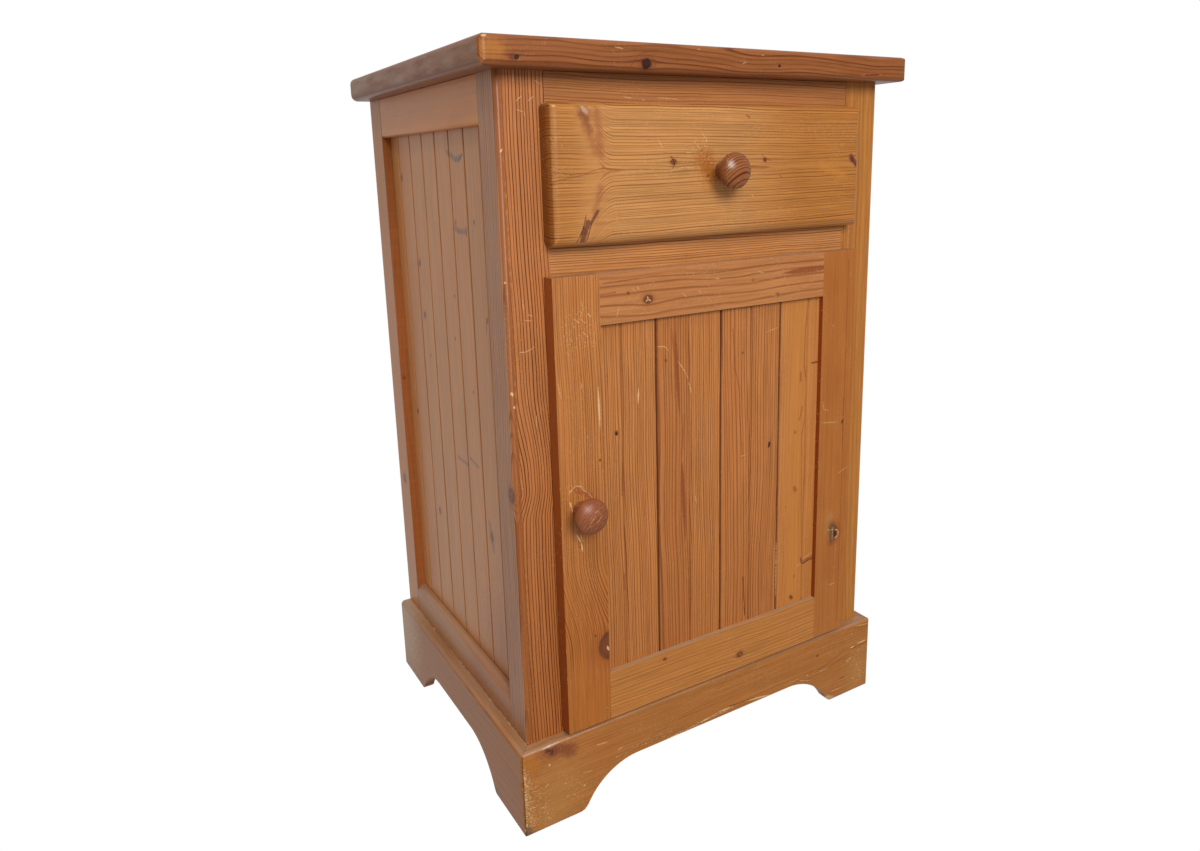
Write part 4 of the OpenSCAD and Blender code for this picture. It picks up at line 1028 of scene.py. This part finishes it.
# Its side faces get painted shade, and its lower part a ramp of painted shade.
dress_in_pine(
    "door_stile_left", "left stile pine", "zxy", pith=(-300, -160), ring=2.5, body=(171, 104, 49),
    lines=0.95, depth=1.15, bend=5.0, wave=0.6, taper=0.012, warp=sweep_to_knot,
    deeper=((120.0, 420.0, 1.0),), flank=0.9, dust=0.5,
    knots=((181, -138, 12.0), (196, -154, 1.0), (293, -167, 0.9), (375, -143, 1.0)),
    marks=strokes("""
        chip 1.6 181 -141 175 -139, chip 1.4 447 -143 405 -142, rust 1 398 -142 366 -141,
        rust 5 352 -171 342 -155, pale 1.1 349 -178 352 -174 355 -170 353 -164 349 -162,
        pale 0.9 349 -162 346 -157 340 -153, chip 1.3 341 -177 334 -175 328 -173,
        chip 1.2 307 -171 297 -166 288 -165, pale 1 306 -167 298 -164, pale 0.8 338 -188 326 -187,
        pale 0.6 528 -158 520 -156 512 -160 506 -153, pale 0.8 512 -166 508 -160,
        pale 0.8 500 -158 494 -152, pale 0.8 516 -152 512 -148, pale 0.8 455 -184 440 -182,
        pale 0.8 452 -160 446 -160
    """),
    face=-170.2, scuffs=0.35, rubbed=((345, -170, 20), (500, -160, 30)), seed=16.0, wear=0.8,
    box=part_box("door_stile_left"),
)
# Its side faces get painted shade.
dress_in_pine(
    "door_stile_right", "right stile pine", "zxy", pith=(60, -140), ring=5.0, body=(159, 91, 35),
    lines=0.13, depth=1.1, red=0.35, wave=0.8, bend=3.0, flank=0.95, mottle=0.55, dust=0.5,
    knots=((225, 165, 7.4),),
    marks=strokes("""
        worn 12 246 158 222 160, stain 8 236 162 214 162, burr 6.4 233 163 217 164,
        pale 0.9 231 155 229 160 229 166, pale 0.8 232 164 224 164 216 164,
        chip 1 228 168 226 173 220 173 217 168, knot 2 225 168 221 168, rust 1.2 214 164 205 166,
        knot 1.5 358 174 356 173, line 0.8 385 174 330 175, pale 0.8 361 142 358 166,
        pale 0.7 385 143 376 144 374 152, pale 0.8 296 169 301 183, pale 1.2 470 154 469 154.5,
        line 0.8 540 175 110 176, pale 0.9 160 162 160 170
    """),
    face=-170.2, scuffs=0.3, seed=17.0, wear=0.5, box=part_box("door_stile_right"),
)

# %% [markdown]
# ## The door's rails
# Their lines run from side to side, between the stiles. The top rail has a knot near its left
# end with pale cracks in it, and a dark lens of late wood near its right end. The cracks and
# the lens are strokes, since no formula would put them there.

# %% Door rails
dress_in_pine(
    "door_top_rail", "door top rail pine", "xzy", pith=(470, -230), ring=6.0, body=(165, 102, 53),
    lines=0.75, sharp=0.62, depth=1.3, bend=8.0, wave=1.5, uneven=1.4, dust=0.45,
    knots=((-86, 522, 4.2), (41, 529, 1.6), (74, 511, 2.0), (-108, 530, 1.1)),
    marks=strokes("""
        chip 0.9 -87 525 -86 522, chip 0.8 -86 522 -89 520, chip 0.9 -86 522 -83 520,
        worn 5 40.5 529 41.5 529, rust 1.6 40.5 529 41.5 529, worn 7 73 511 76 512,
        stain 2.4 73 511 75 511, rust 1.6 -138 531 -122 532, lens 4.4 80 532.5 152 534,
        line 0.9 -134 541 -80 543 -10 540 60 543 138 542, pale 0.7 -118 519 -121 509,
        pale 0.7 -104 534 -100 531, pale 0.9 -98 535 -96 532, pale 0.8 -46 524 -42 520,
        pale 1.2 -27 525 -25 523, pale 1 -6 535 -2 534, pale 1 48 537 55 535
    """),
    face=-170.2, scuffs=0.5, seed=18.0, wear=0.5, box=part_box("door_top_rail"),
)
dress_in_pine(
    "door_bottom_rail", "door bottom rail pine", "xzy", pith=(60, -200), ring=3.2, body=(170, 105, 46),
    lines=0.6, sharp=0.55, depth=1.2, wave=1.2, knots=((-72, 143, 1.6), (28, 115, 3.4)),
    marks=strokes("chip 0.9 28 115 28.5 115.5"), face=-170.2, dust=0.7, scuffs=0.3, seed=19.0, wear=0.5,
    box=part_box("door_bottom_rail"),
)

# %% [markdown]
# ## The door's boards
# The two halves of each of the four boards differ in the photo. A finish for each would make
# eight long lists of nodes. So one finish holds eight values of each kind and picks one by how
# far across the door a point lies. Dirt has settled in the joints.

# %% Door boards
DOOR_JOINTS = (-74.0, 5.0, 84.0)
# The boards get a light ramp of painted shade towards their bottom.
dress_in_pine(
    "door_boards", "door board pine", "zxy", arris=0, pith=(0, -190), body=(170, 104, 50), depth=1.35,
    sharp=0.58, deeper=((130.0, 430.0, 0.4),), uneven=1.2, bend=4.0, wave=0.7,
    boards=dict(
        edges=(-113.5, -74.0, -34.5, 5.0, 44.5, 84.0, 123.5),
        pith=(-330.0, -290.0, -125.0, -250.0, -50.0, 250.0, 240.0, 300.0),
        ring=(2.4, 2.4, 3.6, 2.2, 4.2, 2.8, 5.0, 5.0),
        lines=(1.4, 1.5, 1.45, 1.5, 1.25, 1.5, 0.35, 0.4),
        level=(1.0, 1.02, 1.03, 1.04, 1.08, 1.04, 1.02, 1.04),
        flush=(0.0, 0.0, 0.3, 0.05, 0.25, 0.2, 0.0, 0.0),
    ),
    knots=(
        (396, -121, 1.8), (348, 71, 1.4), (459, -63, 1.1), (454, 33, 0.9), (157, 108, 1.9),
        (183, 111, 1.2), (288, 109, 2.0), (355, 108, 1.4),
    ),
    marks=strokes("""
        honey 32 100 110 500 110, rust 1.8 489 -56 457 -52 420 -52, lens 2.6 492 -52 400 -47,
        rust 2.2 400 -41 357 -45, lens 3 357 -45 268 -41, line 1 480 20 439 23 417 29 386 30 340 34,
        rust 1.3 500 123 481 121 471 119 449 119 428 119 416 121,
        rust 1.1 481 122 449 123 425 122 412 121, rust 1.3 389 122 368 122 353 118,
        line 0.8 353 118 280 119 203 122 160 122, rust 2.6 421 114 412 114, rust 1.6 382 117 368 114,
        rust 2.4 291 108 287 112, dark 0.9 271 96 270.5 96, knot 1.7 350 71 346 70,
        knot 1.5 396 -121 395 -121, dark 1.7 430 130 430 138, rust 3 197 123 199 131 200 141,
        spike 1.4 195 124 197 131 198 141, spike 2.2 202 121 198 122, pale 1 201 125 205 138,
        pale 1 193 114 197 120, spike 2.6 159 106 157 108, dark 1.4 203 36 157 39,
        line 1.4 365 -115 332 -116, line 1.2 249 -116 232 -116, pale 1 457 -49 443 -39,
        pale 0.8 443 -39 435 -35, pale 0.9 435 -35 420 -32, pale 1.2 474 -72 473 -64,
        pale 0.8 473 -64 469 -60, pale 0.9 313 -29 303 -26, pale 0.9 342 31 343 38,
        chip 1.2 437 -95 420 -96, pale 0.7 472 64 475 80, pale 0.9 230 84.5 165 84.5
    """),
    face=-164.7, scuffs=0.22, grooves=("y", -164.7, 1), joints=DOOR_JOINTS, seed=20.0,
)

# %% [markdown]
# ## The drawer
# The drawer front was cut through the heart of the tree: a wavy pith line runs along it and the
# lines above and below mirror each other. A branch lies in it lengthwise, near its left end. A
# picture of such a board would stop at its face. Rings that bend round the branch reach its
# edges and ends too.

# %% Drawer front
PITH_HEIGHT = 641.0


def bend_to_spike(finish, along, across):
    """The lines climb to the lying branch above the pith, fall to it below, and fade left of it."""
    from_pith = across - PITH_HEIGHT
    reach = from_pith.size()
    spike = -137.0 - from_pith * from_pith * 0.003
    right_of = along - spike
    hook = (1.0 - right_of / (reach * 0.16 + 15.0)).most(0.0)
    near = hook * hook * right_of.rise(-4.0, 0.0)
    side = from_pith.rise(-6.0, 6.0) * 2.0 - 1.0
    clear = 1.0 - right_of.rise(-24.0, -8.0) * right_of.fall(-1.0, 3.0) * 0.9
    return across - near * side * (reach * 0.30 + 5.0), clear


# Ramps of painted shade darken both ends of the front, and a small stroke of painted sheen lies at the
# top of the branch.
dress_in_pine(
    "drawer_front", "drawer front pine", "xzy", arris=0, pith=(PITH_HEIGHT, -168), ring=2.4,
    body=(178, 120, 64), lines=1.05, sharp=0.56, depth=1.0, ends=1.0, uneven=0.9, red=0.15, bend=2.5,
    wave=1.0, knots=((-57, 647, 2.6), (53, 647, 1.8), (173, 646, 2.4), (180, 641, 2.6)),
    marks=strokes("""
        stain 11 -153 699 -150 690, stain 8 -151 690 -146 676, blush 7 -147 678 -139 656,
        blush 6 -138 696 -134 654, blush 6 -136 626 -142 602, spike 2 -139 606 -146 596,
        spike 4 -149 596 -153 588 -156 577, dark 0.9 -151 603 -154 592 -162 577,
        dark 0.8 -145 597 -149 586 -152 577, haze 3.4 -151 694 -148 690, chip 2.2 -181 697 -177 695,
        line 0.8 -184 641 -165 638 -150 639 -133 643 -110 641 -60 640,
        line 0.7 -184 632 -168 635 -150 638 -132 640, dark 0.8 -60 652 -57 649 -56 644 -58 641,
        line 0.7 -54 645 -36 646 -20 645, pale 0.7 -52 641 -44 642 -34 641, pale 0.9 -73 666 -69 660,
        pale 0.8 -30 662 -26 658, pale 0.8 -42 655 -37 655, pale 0.8 -24 672 -19 667,
        pale 1.2 -22 661 -17 660, pale 1 -23 651 -19 655, pale 1 -20 664 -18 668,
        pool 16 -22 650 -14 634, dark 1.7 -17.5 633 -16.5 634, spike 4.2 171 648 174 644,
        spike 3.6 178 642 180 639, dark 1.8 172 647 174 644, dark 1.5 177 641 178 640,
        dark 1 52.5 649 53.5 645, line 0.7 49 652 54 648 60 646, pale 0.8 36 614 39 612,
        rust 1.3 73 631 75 629, rust 1.8 29 689 33 687, honey 9 130 640 160 630
    """),
    face=-171.8, scuffs=0.45, rubbed=((-26, 660, 13), (-18, 648, 10)),
    deeper=((110.0, 0.0, 1.0), (-190.0, -115.0, 0.9)), warp=bend_to_spike, seed=21.0,
)

# %% [markdown]
# ## Inside the case
# Nobody stained or polished the inside. Its wood is paler and dull, without marks. Each piece
# could have a list of its own, but most differ only in how their grain lies and where their
# pith was, so a loop dresses those.

# %% Inside the case
RAW_PINE = (196, 142, 92)
RUNNING_GEAR = "drawer_runner_left drawer_runner_right drawer_guides drawer_kickers"
dress_in_pine(
    "back_boards", "back board pine", "zxy", arris=0, pith=(0, 90),
    boards=dict(
        edges=(-129.0, -43.0, 43.0, 129.0), pith=(-290.0, 30.0, -190.0, 190.0, -30.0),
        ring=(4.5, 5.0, 4.0, 4.5, 5.0), lines=(0.7, 0.8, 0.7, 0.8, 0.7),
        level=(0.97, 1.03, 1.0, 0.98, 1.02), flush=(0.0, 0.1, 0.0, 0.2, 0.0),
    ),
    body=RAW_PINE, gloss=0.6, seed=11.0,
)
for nodes, name, grain, pith, seed in (
    ("bottom_board shelf", "shelf pine", "xyz", (-20, 200), 12.0),
    ("bottom_bearers shelf_bearers", "bearer pine", "yzx", (-100, 0), 13.0),
    (RUNNING_GEAR, "runner pine", "yzx", (300, 0), 33.0),
    ("drawer_box_front drawer_back", "drawer end pine", "xzy", (540, -190), 22.0),
    ("drawer_side_left drawer_side_right", "drawer side pine", "yzx", (700, 0), 23.0),
    ("drawer_bottom", "drawer bottom pine", "xyz", (20, 500), 24.0),
):
    dress_in_pine(
        nodes, name, grain, pith=pith, ring=4.0, body=RAW_PINE, lines=0.7, gloss=0.6, seed=seed,
    )

# %% [markdown]
# ## The knobs
# A knob is turned from a block of its own, darker than the door. Its lines run straight
# across its face, at the angle at which its screw came tight. Rings round the knob's middle
# would be simpler, but only a peg cut along the grain has those, so the recipe turns the grain.

# %% Knobs
dress_in_pine(
    "door_knob", "door knob wood", "xzy", arris=0, pith=(60, -120), turn=(math.radians(35), -165, 330),
    ring=2.2, body=(134, 72, 38), lines=0.6, red=0.6, wave=1.0,
    marks=strokes("pale 0.5 -6 2 1 4, pale 0.5 -1 -3 7 -1, pale 0.5 3 6 7 5"), scuffs=0.22,
    rubbed=((0, 0, 16),), gloss=0.4, ends=0.2, seed=26.0,
)
dress_in_pine(
    "drawer_knob", "drawer knob wood", "xzy", arris=0, pith=(40, -150),
    turn=(math.radians(15), 0, 637.5), ring=2.4, body=(135, 78, 40), lines=1.4, red=0.3, wave=1.0,
    gloss=0.27, ends=0.2, seed=27.0,
)

# %% [markdown]
# ## Metal and plastic
# The hinges and their screws are brass, dulled in patches. The other screws are plain steel,
# and the catch is brown plastic round a grey magnet. One flat colour each would be simpler, but
# no old metal is the same all over, so each gets a little unevenness.

# %% Metal and plastic
TARNISH_SIZE = 12.0
TARNISHED = (0.55, 0.5, 0.45)


def metal(name, colour, roughness, metallic=1.0):
    """Metal with cloudy patches of tarnish, or plastic where metallic is 0."""
    finish = Finish(name)
    x, y, z = (finish.place[axis] / TARNISH_SIZE for axis in "xyz")
    tarnish = finish.noise(x, y, z, 3.0).rise(0.35, 0.75)
    finish.shader.inputs["Metallic"].default_value = metallic
    dulled = finish.blend(tarnish * 0.5, linear(*colour), shade(linear(*colour), TARNISHED))
    grit = finish.noise(x * 14.0, y * 14.0, z * 14.0, 1.0)
    return finish.use(dulled, tarnish * 0.2 + roughness, grit * 0.02)


brass = metal("old brass", (196, 158, 88), 0.30)
steel = metal("screw steel", (168, 166, 160), 0.34)
brown_plastic = metal("brown plastic", (74, 48, 32), 0.42, metallic=0.0)
magnet_grey = metal("magnet", (92, 92, 96), 0.45, metallic=0.7)
dress("hinge_post_leaf_upper hinge_post_leaf_lower hinge_post_screws hinge_pins", brass, 0)
dress("hinge_door_leaf_upper hinge_door_leaf_lower hinge_door_screws", brass, 0)
dress("top_screws back_nails catch_screws door_knob_screw catch_plate catch_plate_screw", steel, 0)
dress("drawer_knob_screw drawer_front_screws", steel, 0)
dress("catch_body", brown_plastic, 0)
dress("catch_magnet", magnet_grey, 0)
